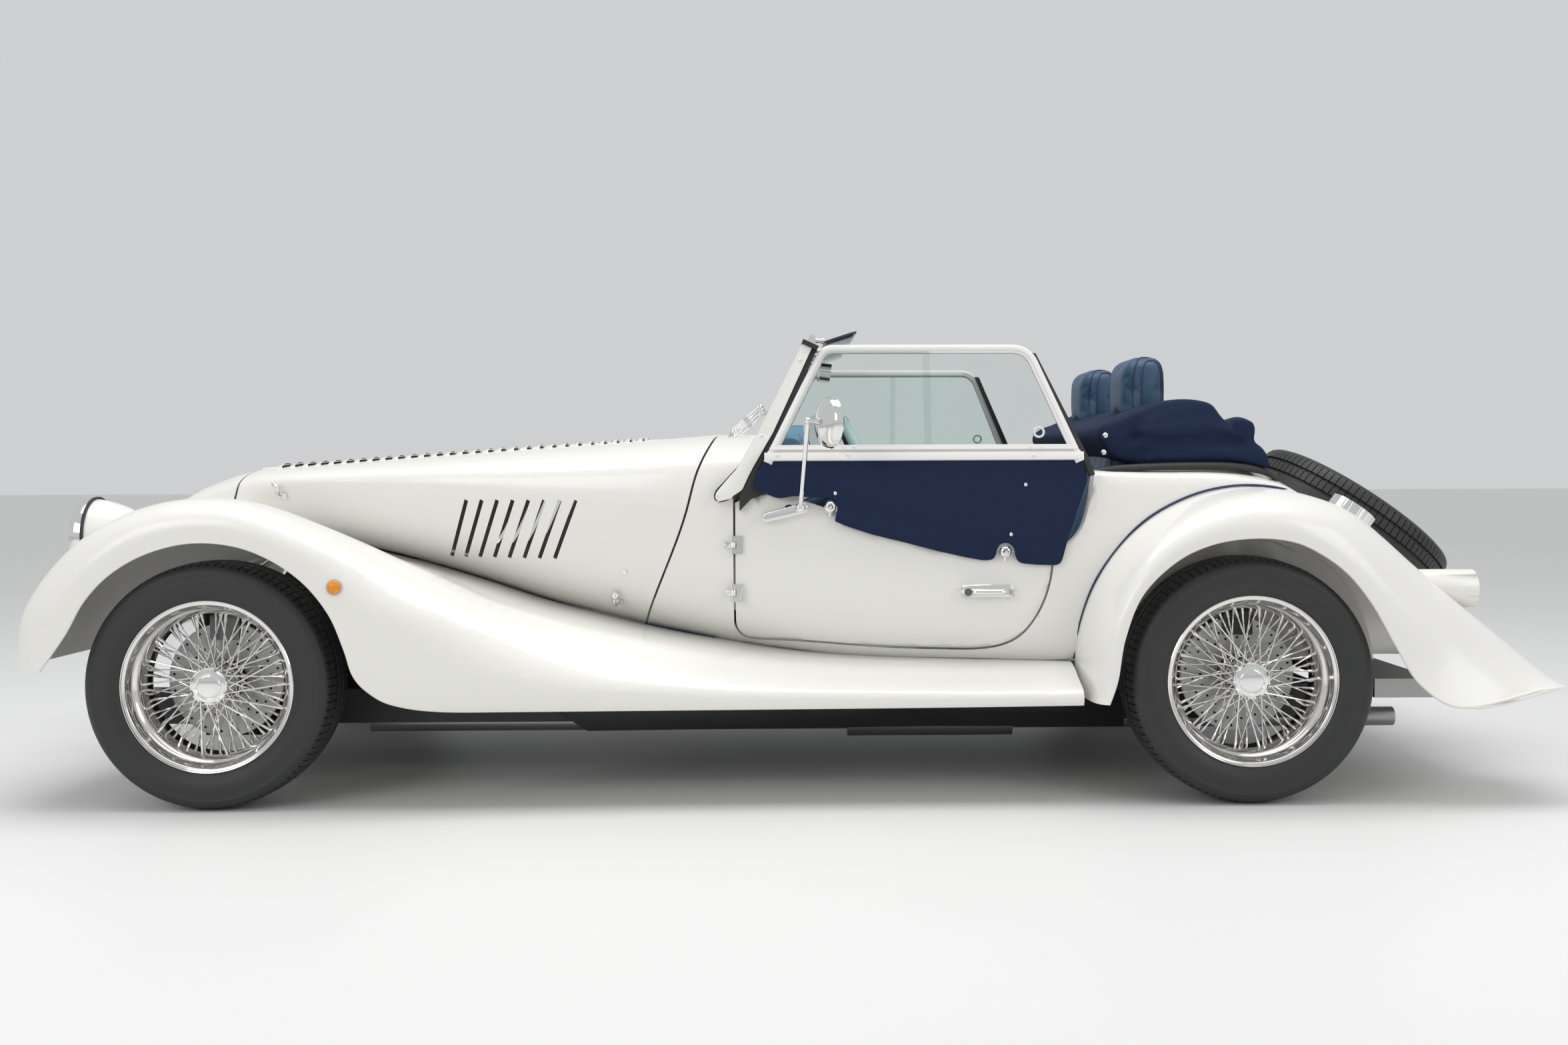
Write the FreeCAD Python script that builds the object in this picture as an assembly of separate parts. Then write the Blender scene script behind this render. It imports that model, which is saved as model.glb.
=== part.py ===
import FreeCAD, Part
import math
import os

V = FreeCAD.Vector

# Main sizes of the car. Front axle and rear axle set everything along the car,
# the tail points to +X, the car's left side to -Y and up is +Z.
wheelbase = 2520.0
front_overhang = 503.0
rear_overhang = 774.0
wing_half_width = 805.0
body_half_width = 600.0
scuttle_height = 910.0

# Running gear
tyre_radius = 300.0
tyre_width = 190.0
wheel_track_half = 684.0
rim_radius = 208.0
rim_width = 172.0
rim_wall = 5.0
rim_lip = 9.0
hub_radius = 38.0
hub_length = 120.0
hub_cap_radius = 43.0
hub_cap_depth = 14.0
rim_well_share = 0.84
spoke_radius = 2.2
spoke_count = 36
stub_radius = 17.0
pin_clearance = 1.0
hinge_pin_radius = 3.0
disc_radius = 142.0
disc_wall = 12.0
disc_inboard = 62.0
upright_height = 230.0
upright_wall = 26.0
arm_radius = 13.0
kingpin_inboard = 118.0

# Walls, gaps and fits
wing_wall = 5.0
bonnet_wall = 4.0
body_wall = 42.0
panel_gap = 6.0
seat_gap = 0.3
tub_flange = 12.0
overrun = 40.0
floor_wall = 10.0
glass_wall = 5.0

# Chassis
rail_half_gap = 330.0
rail_height = 90.0
rail_width = 56.0
rail_bottom = 150.0
tow_bore_radius = 10.0
jack_pad_length = 120.0
jack_pad_depth = 8.0
jack_share = 0.693

# Cockpit
seat_width = 400.0
seat_offset = 290.0
seat_back_wall = 110.0
seat_lean = 16.0
cushion_height = 150.0
cushion_length = 480.0
headrest_width = 250.0
headrest_height = 165.0
headrest_wall = 112.0
seat_round = 38.0
headrest_round = 32.0
steering_radius = 185.0
steering_tube = 14.0
steering_lean = 24.0
column_radius = 24.0

# Doors, screens and lamps
screen_lean = 12.4
screen_rail = 36.0
screen_top_rail = 22.0
screen_wall = 18.0
pillar_width = 28.0
cloth_wall = 6.0
lamp_radius = 100.0
lamp_bezel = 22.0
tail_lamp_radius = 48.0
spare_lean = 36.0
cap_radius = 62.0
cap_height = 24.0
mirror_radius = 66.0
mirror_depth = 42.0
mirror_arm_radius = 8.0
handle_length = 133.0
handle_height = 31.0
handle_depth = 22.0
pillar_lean = 4.5
screen_stand_off = 23.0
screen_plane = body_half_width + screen_stand_off
hinge_height = 45.0
hinge_barrel_radius = 7.0
hinge_leaf = 24.0
hinge_wall = 4.0
hinge_inset = 4.0
hinge_plane = body_half_width - hinge_inset
door_hinge_shares = (0.689, 0.556)
wheel_offset = 330.0
facia_wall = 28.0
facia_foot_share = 0.66
facia_step_share = 0.84
binnacle_radius = 92.0
binnacle_top_share = 1.026
lamp_offset = 405.0
tail_lamp_offset = 640.0
cap_inboard = 130.0
tail_cap_offset = body_half_width - cap_inboard
grille_depth = 26.0
grille_rim = 12.0
grille_bars = 13
grille_bar = 5.0
bulkhead_shares = (0.487, 0.950)
rail_reach_share = 0.52
skirt_shares = [(0.313, 0.255), (0.313, 0.215), (0.348, 0.153), (0.703, 0.161),
                (0.901, 0.158), (0.901, 0.255)]
stay_shares = [(0.596, 0.790), (0.770, 0.668)]
stay_root_share = 0.97
handle_shares = (0.726, 0.560)
handle_width_share = 0.75
mirror_post_shares = (0.556, 0.786)
mirror_elbow_shares = (0.575, 0.920, 1.026)
mirror_head_shares = (0.588, 0.944, 1.023)
steering_shares = (0.641, 0.863)
seat_shares = (0.865, 1.055)
headrest_shares = (0.9135, 1.052)
hood_half_share = 0.93
screen_half_share = 0.955
screen_hole_shares = (0.50, 0.62, 1.030, 1.225)
lamp_shares = (-0.173, 0.713)
tail_lamp_shares = (0.2318, 0.5635)
spare_shares = (1.117, 0.967)
cap_shares = (1.1345, 0.760)
exhaust_shares = (0.10, 0.22)
silencer_shares = (0.62, 0.80)
valance_shares = (0.224, 0.237, 0.291)
valance_half_share = 0.80
engine_shares = (0.30, 0.60)
radiator_shares = (-0.083, 0.70)
deck_top_shares = (0.60, 1.20)
above_share = 1.10
root_share = 0.745

# Louvres: rows across the top of each bonnet side and slanted vents in its flank
top_louvre_count = 29
top_louvre_length = 104.0
top_louvre_offset = 88.0
top_louvre_shares = (-0.004, 0.395)
side_louvre_count = 8
side_louvre_pitch = 41.7
side_slot_width = 10.0
side_louvre_shares = [(0.2012, 0.643), (0.2254, 0.810)]
louvre_depth = 16.0
louvre_height = 8.0
louvre_wall = 1.6

front_axle_x = -(wheelbase + rear_overhang - front_overhang) / 2
rear_axle_x = front_axle_x + wheelbase

# Body sections from the grille's rim to the tail: place of the top and of the
# lower edge, their heights, the half widths at four heights and how square
# the crown is. Places are shares of the wheelbase, heights of the scuttle's
# height and widths of the body's half width.
tub_shares = [
    (-0.134, -0.165, 0.769, 0.379, 0.250, 0.338, 0.308, 0.197, 2.1),
    (-0.119, -0.153, 0.815, 0.409, 0.275, 0.370, 0.342, 0.217, 2.1),
    (-0.085, -0.119, 0.863, 0.484, 0.320, 0.408, 0.383, 0.242, 2.1),
    (-0.027, -0.044, 0.905, 0.624, 0.425, 0.447, 0.400, 0.250, 2.2),
    (0.024, 0.024, 0.915, 0.684, 0.530, 0.500, 0.417, 0.263, 2.2),
    (0.099, 0.099, 0.929, 0.666, 0.613, 0.587, 0.500, 0.317, 2.3),
    (0.198, 0.198, 0.948, 0.599, 0.728, 0.708, 0.620, 0.400, 2.4),
    (0.303, 0.303, 0.9675, 0.512, 0.820, 0.812, 0.733, 0.500, 2.5),
    (0.404, 0.404, 0.9866, 0.449, 0.908, 0.908, 0.847, 0.608, 2.6),
    (0.480, 0.480, 1.001, 0.413, 0.958, 0.967, 0.930, 0.708, 2.7),
    (0.536, 0.536, 1.001, 0.391, 0.983, 0.995, 0.977, 0.783, 2.9),
    (0.603, 0.603, 0.989, 0.374, 1.000, 1.010, 1.000, 0.850, 3.2),
    (0.714, 0.714, 0.956, 0.365, 1.007, 1.020, 1.013, 0.900, 4.0),
    (0.837, 0.837, 0.921, 0.360, 1.003, 1.020, 1.010, 0.942, 5.0),
    (0.933, 0.933, 0.910, 0.360, 1.003, 1.017, 1.007, 0.950, 5.0),
    (1.016, 1.016, 0.903, 0.360, 0.993, 1.003, 0.990, 0.933, 4.6),
    (1.063, 1.063, 0.868, 0.360, 0.967, 0.973, 0.957, 0.892, 4.2),
    (1.111, 1.111, 0.782, 0.360, 0.927, 0.927, 0.908, 0.842, 3.8),
    (1.171, 1.171, 0.664, 0.360, 0.867, 0.863, 0.842, 0.767, 3.4),
    (1.230, 1.230, 0.545, 0.349, 0.793, 0.787, 0.763, 0.683, 3.0),
    (1.280, 1.280, 0.445, 0.335, 0.717, 0.708, 0.683, 0.600, 2.8),
]
side_height_share = (0.78, 0.52, 0.22, 0.0)
well_share = 1.06
crown_steps = 5

# Front wing and running board: each station has its place along the body's
# lower edge, then inner top, inner crown, crown, shoulder and lip.
front_wing_shares = [
    (-0.163, (-0.190, 0.447, 0.376), (-0.200, 0.720, 0.371), (-0.192, 0.870, 0.374),
     (-0.177, 0.963, 0.376), (-0.154, 0.991, 0.377)),
    (-0.137, (-0.171, 0.534, 0.500), (-0.183, 0.807, 0.516), (-0.175, 0.938, 0.525),
     (-0.153, 0.998, 0.500), (-0.129, 0.996, 0.474)),
    (-0.101, (-0.145, 0.559, 0.615), (-0.156, 0.826, 0.645), (-0.146, 0.959, 0.624),
     (-0.126, 1.001, 0.593), (-0.111, 0.996, 0.562)),
    (-0.065, (-0.109, 0.571, 0.703), (-0.116, 0.832, 0.742), (-0.110, 0.966, 0.714),
     (-0.095, 1.001, 0.667), (-0.086, 0.996, 0.634)),
    (-0.036, (-0.067, 0.578, 0.758), (-0.069, 0.835, 0.803), (-0.065, 0.969, 0.775),
     (-0.058, 1.001, 0.725), (-0.052, 0.996, 0.687)),
    (-0.004, (-0.017, 0.584, 0.780), (-0.016, 0.837, 0.827), (-0.015, 0.971, 0.802),
     (-0.013, 1.001, 0.753), (-0.012, 0.996, 0.714)),
    (0.036, (0.036, 0.596, 0.769), (0.037, 0.837, 0.813), (0.035, 0.971, 0.791),
     (0.032, 1.001, 0.745), (0.029, 0.996, 0.707)),
    (0.081, (0.084, 0.621, 0.731), (0.084, 0.835, 0.767), (0.079, 0.971, 0.745),
     (0.071, 1.001, 0.703), (0.065, 0.996, 0.670)),
    (0.131, (0.131, 0.652, 0.686), (0.131, 0.832, 0.709), (0.121, 0.973, 0.684),
     (0.106, 1.001, 0.637), (0.097, 0.996, 0.607)),
    (0.175, (0.175, 0.677, 0.637), (0.175, 0.830, 0.648), (0.156, 0.975, 0.613),
     (0.134, 1.001, 0.555), (0.121, 0.996, 0.523)),
    (0.216, (0.216, 0.696, 0.593), (0.214, 0.830, 0.595), (0.188, 0.981, 0.549),
     (0.157, 1.001, 0.473), (0.135, 0.995, 0.430)),
    (0.256, (0.256, 0.720, 0.546), (0.254, 0.826, 0.541), (0.222, 0.975, 0.495),
     (0.175, 0.998, 0.407), (0.143, 0.994, 0.363)),
    (0.300, (0.298, 0.733, 0.508), (0.298, 0.826, 0.492), (0.258, 0.969, 0.437),
     (0.198, 0.994, 0.357), (0.157, 0.990, 0.319)),
    (0.351, (0.350, 0.752, 0.467), (0.349, 0.830, 0.445), (0.302, 0.963, 0.385),
     (0.230, 0.988, 0.319), (0.179, 0.984, 0.286)),
    (0.411, (0.410, 0.770, 0.431), (0.409, 0.835, 0.403), (0.357, 0.957, 0.346),
     (0.278, 0.976, 0.291), (0.222, 0.973, 0.267)),
    (0.476, (0.474, 0.789, 0.396), (0.472, 0.845, 0.371), (0.417, 0.950, 0.327),
     (0.341, 0.964, 0.281), (0.302, 0.959, 0.264)),
    (0.556, (0.554, 0.801, 0.368), (0.552, 0.855, 0.346), (0.508, 0.942, 0.313),
     (0.448, 0.954, 0.278), (0.421, 0.949, 0.264)),
    (0.647, (0.645, 0.807, 0.354), (0.643, 0.860, 0.333), (0.619, 0.938, 0.307),
     (0.579, 0.949, 0.277), (0.563, 0.944, 0.265)),
    (0.748, (0.747, 0.807, 0.346), (0.746, 0.860, 0.327), (0.734, 0.935, 0.304),
     (0.722, 0.947, 0.278), (0.714, 0.942, 0.267)),
    (0.838, (0.838, 0.807, 0.345), (0.838, 0.860, 0.327), (0.838, 0.934, 0.304),
     (0.838, 0.945, 0.279), (0.838, 0.940, 0.270)),
]

# Rear wing, round the wheel: places are measured from the rear axle
rear_wing_shares = [
    ((-0.158, 0.754, 0.279), (-0.157, 0.807, 0.277), (-0.156, 0.870, 0.276),
     (-0.151, 0.969, 0.275), (-0.142, 0.998, 0.275)),
    ((-0.158, 0.754, 0.363), (-0.157, 0.814, 0.363), (-0.154, 0.876, 0.360),
     (-0.145, 0.975, 0.354), (-0.134, 0.998, 0.341)),
    ((-0.153, 0.754, 0.479), (-0.151, 0.815, 0.477), (-0.148, 0.880, 0.474),
     (-0.139, 0.979, 0.466), (-0.127, 0.999, 0.451)),
    ((-0.135, 0.754, 0.603), (-0.133, 0.815, 0.602), (-0.129, 0.880, 0.597),
     (-0.120, 0.981, 0.586), (-0.110, 1.000, 0.566)),
    ((-0.096, 0.754, 0.732), (-0.094, 0.814, 0.730), (-0.092, 0.877, 0.722),
     (-0.087, 0.981, 0.696), (-0.077, 1.000, 0.655)),
    ((-0.049, 0.753, 0.809), (-0.049, 0.812, 0.808), (-0.048, 0.872, 0.799),
     (-0.044, 0.980, 0.760), (-0.040, 1.000, 0.701)),
    ((0.001, 0.750, 0.842), (0.001, 0.810, 0.841), (0.001, 0.870, 0.832),
     (0.001, 0.979, 0.785), (0.001, 1.000, 0.715)),
    ((0.052, 0.733, 0.833), (0.050, 0.801, 0.833), (0.048, 0.867, 0.823),
     (0.042, 0.978, 0.775), (0.037, 1.000, 0.703)),
    ((0.098, 0.704, 0.788), (0.096, 0.783, 0.793), (0.096, 0.863, 0.786),
     (0.080, 0.975, 0.734), (0.067, 1.000, 0.662)),
    ((0.138, 0.677, 0.703), (0.137, 0.760, 0.720), (0.134, 0.860, 0.709),
     (0.111, 0.973, 0.664), (0.091, 1.000, 0.607)),
    ((0.177, 0.646, 0.604), (0.175, 0.745, 0.624), (0.172, 0.857, 0.615),
     (0.141, 0.971, 0.571), (0.113, 1.001, 0.525)),
    ((0.217, 0.621, 0.500), (0.216, 0.733, 0.521), (0.214, 0.855, 0.519),
     (0.171, 0.971, 0.473), (0.133, 1.004, 0.423)),
    ((0.254, 0.606, 0.407), (0.253, 0.727, 0.429), (0.252, 0.855, 0.432),
     (0.199, 0.976, 0.379), (0.155, 1.011, 0.325)),
    ((0.283, 0.596, 0.343), (0.283, 0.723, 0.360), (0.282, 0.860, 0.363),
     (0.234, 0.986, 0.313), (0.194, 1.021, 0.267)),
    ((0.306, 0.594, 0.311), (0.307, 0.727, 0.312), (0.307, 0.870, 0.312),
     (0.294, 0.969, 0.311), (0.270, 1.012, 0.311)),
]

# Seams and openings in the side view, as shares of wheelbase and scuttle height
front_seam_shares = [(-0.027, 1.10), (-0.052, 0.60)]
bonnet_front_shares = [(-0.027, 1.10), (-0.0345, 0.95), (-0.0405, 0.82), (-0.0420, 0.72),
                       (-0.0390, 0.60)]
rear_seam_shares = [(0.480, 1.10), (0.480, 1.00), (0.464, 0.893), (0.454, 0.793),
                    (0.439, 0.673), (0.423, 0.566), (0.406, 0.449), (0.392, 0.30)]
cockpit_shares = [(0.530, 0.960), (0.514, 0.870), (0.502, 0.790), (0.560, 0.725),
                  (0.650, 0.690), (0.757, 0.672), (0.819, 0.667), (0.841, 0.705),
                  (0.857, 0.815), (0.868, 0.930)]
door_shares = [(0.500, 0.465), (0.507, 0.428), (0.535, 0.415), (0.577, 0.412),
               (0.658, 0.397), (0.713, 0.393), (0.754, 0.396), (0.781, 0.420),
               (0.798, 0.466), (0.819, 0.629)]
door_top_shares = [(0.490, 0.780), (0.530, 0.826), (0.556, 0.819), (0.607, 0.775),
                   (0.659, 0.725), (0.713, 0.692), (0.757, 0.674), (0.814, 0.662),
                   (0.850, 0.662)]
outline_top_share = 1.25
deck_rear_share = 0.968
deck_half_share = 0.90
deck_corner_share = 0.36

# Side screen, windscreen and hood in the side view, same shares
screen_ring_shares = [(0.539, 0.922), (0.5885, 1.243), (0.799, 1.241), (0.848, 0.919)]
cloth_shares = [(0.521, 0.925), (0.521, 0.878), (0.533, 0.836), (0.547, 0.819), (0.588, 0.822),
                (0.596, 0.790), (0.607, 0.748), (0.659, 0.696), (0.713, 0.664), (0.757, 0.646),
                (0.785, 0.636), (0.823, 0.632), (0.832, 0.660), (0.851, 0.866), (0.848, 0.919)]
screen_foot_share = 0.921
pillar_shares = [(0.484, 0.806), (0.525, 0.996), (0.570, 1.245), (0.5815, 1.245),
                 (0.540, 0.996), (0.509, 0.847), (0.498, 0.815)]
hood_shares = [(0.948, 0.860), (0.958, 1.000), (0.977, 1.060), (1.005, 1.090), (1.040, 1.070),
               (1.056, 1.000), (1.058, 0.860)]


def wide_x(share):
    return front_axle_x + share * wheelbase


def rear_x(share):
    return rear_axle_x + share * wheelbase


def high(share):
    return share * scuttle_height


def between(place, column):
    # Value of a column of the body's table at a place along its lower edge
    last = tub_shares[0]
    for row in tub_shares[1:]:
        if place <= row[1]:
            part = (place - last[1]) / (row[1] - last[1])
            part = max(part, 0)
            return last[column] + part * (row[column] - last[column])
        last = row
    return last[column]


def edge_width(place):
    return between(place, 7) * body_half_width


def edge_height(place):
    return high(between(place, 3))


# Sheets of bodywork

def chord_places(lines):
    # Mean places from 0 to 1 of the points along a family of lines
    count = len(lines[0])
    steps = [0.0] * count
    for line in lines:
        for k in range(1, count):
            steps[k] += (line[k] - line[k - 1]).Length
    places = [0.0]
    for step in steps[1:]:
        places.append(places[-1] + step)
    return [place / places[-1] for place in places]


def curve_through(points, places):
    curve = Part.BSplineCurve()
    curve.interpolate(Points=points, Parameters=places)
    return curve


def skin(rows):
    # Smooth sheet through rows of points: curves across, then curves along their poles
    across = chord_places(rows)
    along = chord_places([list(column) for column in zip(*rows)])
    curves = [curve_through(row, across) for row in rows]
    pole_rows = [curve.getPoles() for curve in curves]
    lengthwise = [curve_through(list(column), along) for column in zip(*pole_rows)]
    pole_columns = [curve.getPoles() for curve in lengthwise]
    poles = [list(row) for row in zip(*pole_columns)]
    sheet = Part.BSplineSurface()
    sheet.buildFromPolesMultsKnots(poles, lengthwise[0].getMultiplicities(),
                                   curves[0].getMultiplicities(), lengthwise[0].getKnots(),
                                   curves[0].getKnots(), False, False, lengthwise[0].Degree,
                                   curves[0].Degree)
    return sheet


def plate(outer_rows, inner_rows):
    # Solid between two sheets whose edges are joined by straight strips
    outer = skin(outer_rows)
    inner = skin(inner_rows)
    out_u0, out_u1, out_v0, out_v1 = outer.bounds()
    in_u0, in_u1, in_v0, in_v1 = inner.bounds()
    pairs = [(outer.uIso(out_u0), inner.uIso(in_u0)), (outer.uIso(out_u1), inner.uIso(in_u1)),
             (outer.vIso(out_v0), inner.vIso(in_v0)), (outer.vIso(out_v1), inner.vIso(in_v1))]
    faces = [outer.toShape(), inner.toShape()]
    for one, other in pairs:
        faces.append(Part.makeRuledSurface(one.toShape(), other.toShape()))
    shell = Part.makeShell(faces)
    shell.sewShape()
    solid = Part.makeSolid(shell)
    if solid.Volume < 0:
        solid.reverse()
    return solid


def under(rows, wall):
    # The same sheet moved by the wall's thickness towards its inner side
    moved = []
    last_row = len(rows) - 1
    last_point = len(rows[0]) - 1
    for i, row in enumerate(rows):
        line = []
        for j, point in enumerate(row):
            along = rows[min(i + 1, last_row)][j] - rows[max(i - 1, 0)][j]
            across = row[min(j + 1, last_point)] - row[max(j - 1, 0)]
            normal = along.cross(across)
            normal.normalize()
            line.append(point + normal * wall)
        moved.append(line)
    return moved


def mirrored(shape):
    return shape.mirror(V(0, 0, 0), V(0, 1, 0))


def largest(shape):
    return max(shape.Solids, key=lambda solid: solid.Volume)


def box(x0, x1, y0, y1, z0, z1):
    return Part.makeBox(x1 - x0, y1 - y0, z1 - z0, V(x0, y0, z0))


def smooth_edge(corners):
    curve = Part.BSplineCurve()
    curve.interpolate(corners)
    return curve.toShape()


def side_slab(points, y0, y1):
    # Outline drawn in the side view and stretched across the car
    corners = [V(x, y0, z) for x, z in points]
    wire = Part.makePolygon(corners + [corners[0]])
    return Part.Face(wire).extrude(V(0, y1 - y0, 0))


def side_points(shares, shift=0):
    return [(wide_x(x) + shift, high(z)) for x, z in shares]


def smooth_slab(points, y0, y1):
    # Closed by a straight edge between the curve's two ends
    corners = [V(x, y0, z) for x, z in points]
    last = Part.LineSegment(corners[-1], corners[0]).toShape()
    return Part.Face(Part.Wire([smooth_edge(corners), last])).extrude(V(0, y1 - y0, 0))


def moved_in(points, inset):
    # A curve in the side view moved to its left side by the inset
    moved = []
    last = len(points) - 1
    for k, (x, z) in enumerate(points):
        before = points[max(k - 1, 0)]
        after = points[min(k + 1, last)]
        run_x = after[0] - before[0]
        run_z = after[1] - before[1]
        length = math.hypot(run_x, run_z)
        moved.append((x - run_z / length * inset, z + run_x / length * inset))
    return moved


def above_slab(shares, y0, y1, inset=0):
    # All that lies above a curve drawn in the side view
    corners = [V(x, y0, z) for x, z in moved_in(side_points(shares), inset)]
    top = high(outline_top_share)
    first = V(corners[0].x, y0, top)
    last = V(corners[-1].x, y0, top)
    edges = [smooth_edge(corners), Part.LineSegment(corners[-1], last).toShape(),
             Part.LineSegment(last, first).toShape(),
             Part.LineSegment(first, corners[0]).toShape()]
    return Part.Face(Part.Wire(edges)).extrude(V(0, y1 - y0, 0))


def rod(start, end, radius):
    return Part.makeCylinder(radius, (end - start).Length, start, end - start)


def tub_section(row, inset):
    # Points from the left lower edge over the crown to the right lower edge
    top = high(row[2])
    bottom = high(row[3])
    widths = [share * body_half_width - inset for share in row[4:8]]
    heights = [bottom + share * (top - bottom) for share in side_height_share]
    half = [(0, top - inset)]
    rise = top - inset - heights[0]
    for step in range(1, crown_steps + 1):
        turn = math.pi / 2 * step / crown_steps
        width = widths[0] * math.sin(turn) ** (2 / row[8])
        height = heights[0] + rise * max(math.cos(turn), 0) ** (2 / row[8])
        if step == crown_steps:
            height = heights[0]
        half.append((width, height))
    lower = min(inset, 0)
    for width, height in zip(widths[1:], heights[1:]):
        half.append((width, height if height > bottom else bottom + lower))
    points = []
    for width, height in reversed(half[1:]):
        points.append((-width, height))
    points += half
    section = []
    for width, height in points:
        part = (height - bottom) / (top - bottom)
        place = row[1] + (row[0] - row[1]) * part
        section.append(V(wide_x(place), width, height))
    return section


def tub_shell(wall):
    outer = [tub_section(row, 0) for row in tub_shares]
    inner = [tub_section(row, wall) for row in tub_shares]
    return plate(outer, inner)


def tub_volume(clearance):
    # The whole body as a block, to trim what lies against it
    outer = [tub_section(row, -clearance) for row in tub_shares]
    core = []
    core_share = 0.04
    for row in outer:
        middle = (row[0] + row[-1]) * (1 / 2)
        core.append([middle + (point - middle) * core_share for point in row])
    return plate(outer, core)


def ahead_of(shares, shift):
    # Everything ahead of a seam that is drawn in the side view
    points = [(wide_x(x) + shift, high(z)) for x, z in shares]
    front = wide_x(tub_shares[0][1]) - overrun
    corners = [V(x, -wing_half_width, z) for x, z in points]
    far_low = V(front, -wing_half_width, 0)
    far_high = V(front, -wing_half_width, corners[0].z)
    low = V(corners[-1].x, -wing_half_width, 0)
    edges = [smooth_edge(corners), Part.LineSegment(corners[-1], low).toShape(),
             Part.LineSegment(low, far_low).toShape(),
             Part.LineSegment(far_low, far_high).toShape(),
             Part.LineSegment(far_high, corners[0]).toShape()]
    face = Part.Face(Part.Wire(edges))
    return face.extrude(V(0, 2 * wing_half_width, 0))


def cowl():
    return largest(tub_shell(bonnet_wall * 2).common(ahead_of(front_seam_shares, -panel_gap / 2)))


def bonnet_left():
    sheet = tub_shell(bonnet_wall)
    sheet = sheet.common(ahead_of(rear_seam_shares, -panel_gap / 2))
    sheet = sheet.cut(ahead_of(bonnet_front_shares, panel_gap / 2))
    edge = hinge_pin_radius + pin_clearance * 0.7
    strip = box(wide_x(tub_shares[0][1]), wide_x(1), -edge, wing_half_width, 0,
                high(outline_top_share))
    sheet = largest(sheet.cut(strip))
    slots = []
    scoops = []
    for frame, length in top_louvres(sheet):
        scoop, slot = louvre(length)
        scoop.Placement = frame
        slot.Placement = frame
        scoops.append(scoop)
        slots.append(slot)
    for frame, length in side_louvres(sheet):
        slot = box(-side_slot_width, 0, -length / 2, length / 2, -body_wall, body_wall)
        slot.Placement = frame
        slots.append(slot)
    return largest(sheet.cut(slots).fuse(scoops))


def louvre(length):
    # Pressed hood with an open rear edge and the slot that it covers; its length
    # lies along Y and it stands on a surface at z = 0
    deep, tall, wall = louvre_depth, louvre_height, louvre_wall
    half = length / 2
    sink = V(0, 0, -bonnet_wall / 2)
    front = V(-deep, -half, 0)
    crest = V(0, -half, tall)
    inner_front = front + V(wall * 2, 0, 0)
    inner_crest = crest - V(0, 0, wall)
    outer = Part.Arc(front, V(-deep * 0.45, -half, tall * 0.75), crest).toShape()
    inner = Part.Arc(inner_front, V(-deep * 0.40, -half, tall * 0.75 - wall),
                     inner_crest).toShape()
    hood_wire = Part.Wire([outer, line_edge(crest, inner_crest), inner,
                           line_edge(inner_front, inner_front + sink),
                           line_edge(inner_front + sink, front + sink),
                           line_edge(front + sink, front)])
    hood_sheet = Part.Face(hood_wire).extrude(V(0, length, 0))
    foot = V(0, -half, 0) + sink
    cheek_wire = Part.Wire([outer, line_edge(crest, foot), line_edge(foot, front + sink),
                            line_edge(front + sink, front)])
    cheek = Part.Face(cheek_wire).extrude(V(0, wall, 0))
    other = cheek.copy()
    other.translate(V(0, length - wall, 0))
    scoop = hood_sheet.fuse([cheek, other])
    slot = box(-deep + wall * 2, 0, -half + wall, half - wall, -louvre_depth, louvre_depth)
    return scoop, slot


def line_edge(start, end):
    return Part.LineSegment(start, end).toShape()


def surface_point(sheet, start, direction):
    # First place where a line meets the outer side of a panel
    reach = wing_half_width * 2
    probe = line_edge(start, start + direction * reach).common(sheet)
    return min((vertex.Point for vertex in probe.Vertexes), key=lambda p: (p - start).Length)


def seated_frame(low, top, ahead):
    # Placement whose Y runs from the low to the top point and whose X points back
    along = (top - low).normalize()
    outward = along.cross(ahead).normalize()
    if outward.z < 0 and abs(outward.y) < abs(outward.z) or outward.y > abs(outward.z):
        outward = -outward
    across = along.cross(outward).normalize()
    if across.x < 0:
        along = -along
        across = -across
    turn = FreeCAD.Rotation(across, along, outward, "XYZ")
    return FreeCAD.Placement((low + top) * (1 / 2), turn)


def top_louvres(sheet):
    # Row of louvres across the top of the left bonnet side
    start, end = [wide_x(share) for share in top_louvre_shares]
    inner = -(top_louvre_offset - top_louvre_length / 2)
    outer = -(top_louvre_offset + top_louvre_length / 2)
    frames = []
    for index in range(top_louvre_count):
        x = start + (end - start) * index / (top_louvre_count - 1)
        above = high(outline_top_share)
        one = surface_point(sheet, V(x, inner, above), V(0, 0, -1))
        other = surface_point(sheet, V(x, outer, above), V(0, 0, -1))
        frames.append((seated_frame(other, one, V(1, 0, 0)), top_louvre_length))
    return frames


def side_louvres(sheet):
    # Slanted vents in the flank of the left bonnet side
    frames = []
    for index in range(side_louvre_count):
        ends = []
        for x_share, z_share in side_louvre_shares:
            start = V(wide_x(x_share) + index * side_louvre_pitch, -wing_half_width, high(z_share))
            ends.append(surface_point(sheet, start, V(0, 1, 0)))
        low, top = ends
        frames.append((seated_frame(low, top, V(1, 0, 0)), (top - low).Length))
    return frames


def hinge_rod():
    # Long hinge pin on the car's centre line between cowl and scuttle
    start = bonnet_hinge_point(front_seam_shares[0][0])
    end = bonnet_hinge_point(rear_seam_shares[1][0])
    along = (end - start).normalize()
    start = start - along * overrun
    end = end + along * (panel_gap / 2 - pin_clearance)
    return rod(start, end, hinge_pin_radius)


def bonnet_hinge_point(place):
    front = tub_shares[3]
    rear = tub_shares[9]
    part = (place - front[0]) / (rear[0] - front[0])
    height = high(front[2] + part * (rear[2] - front[2]))
    return V(wide_x(place), 0, height)


def cockpit_slab():
    return above_slab(cockpit_shares, -wing_half_width, wing_half_width)


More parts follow.
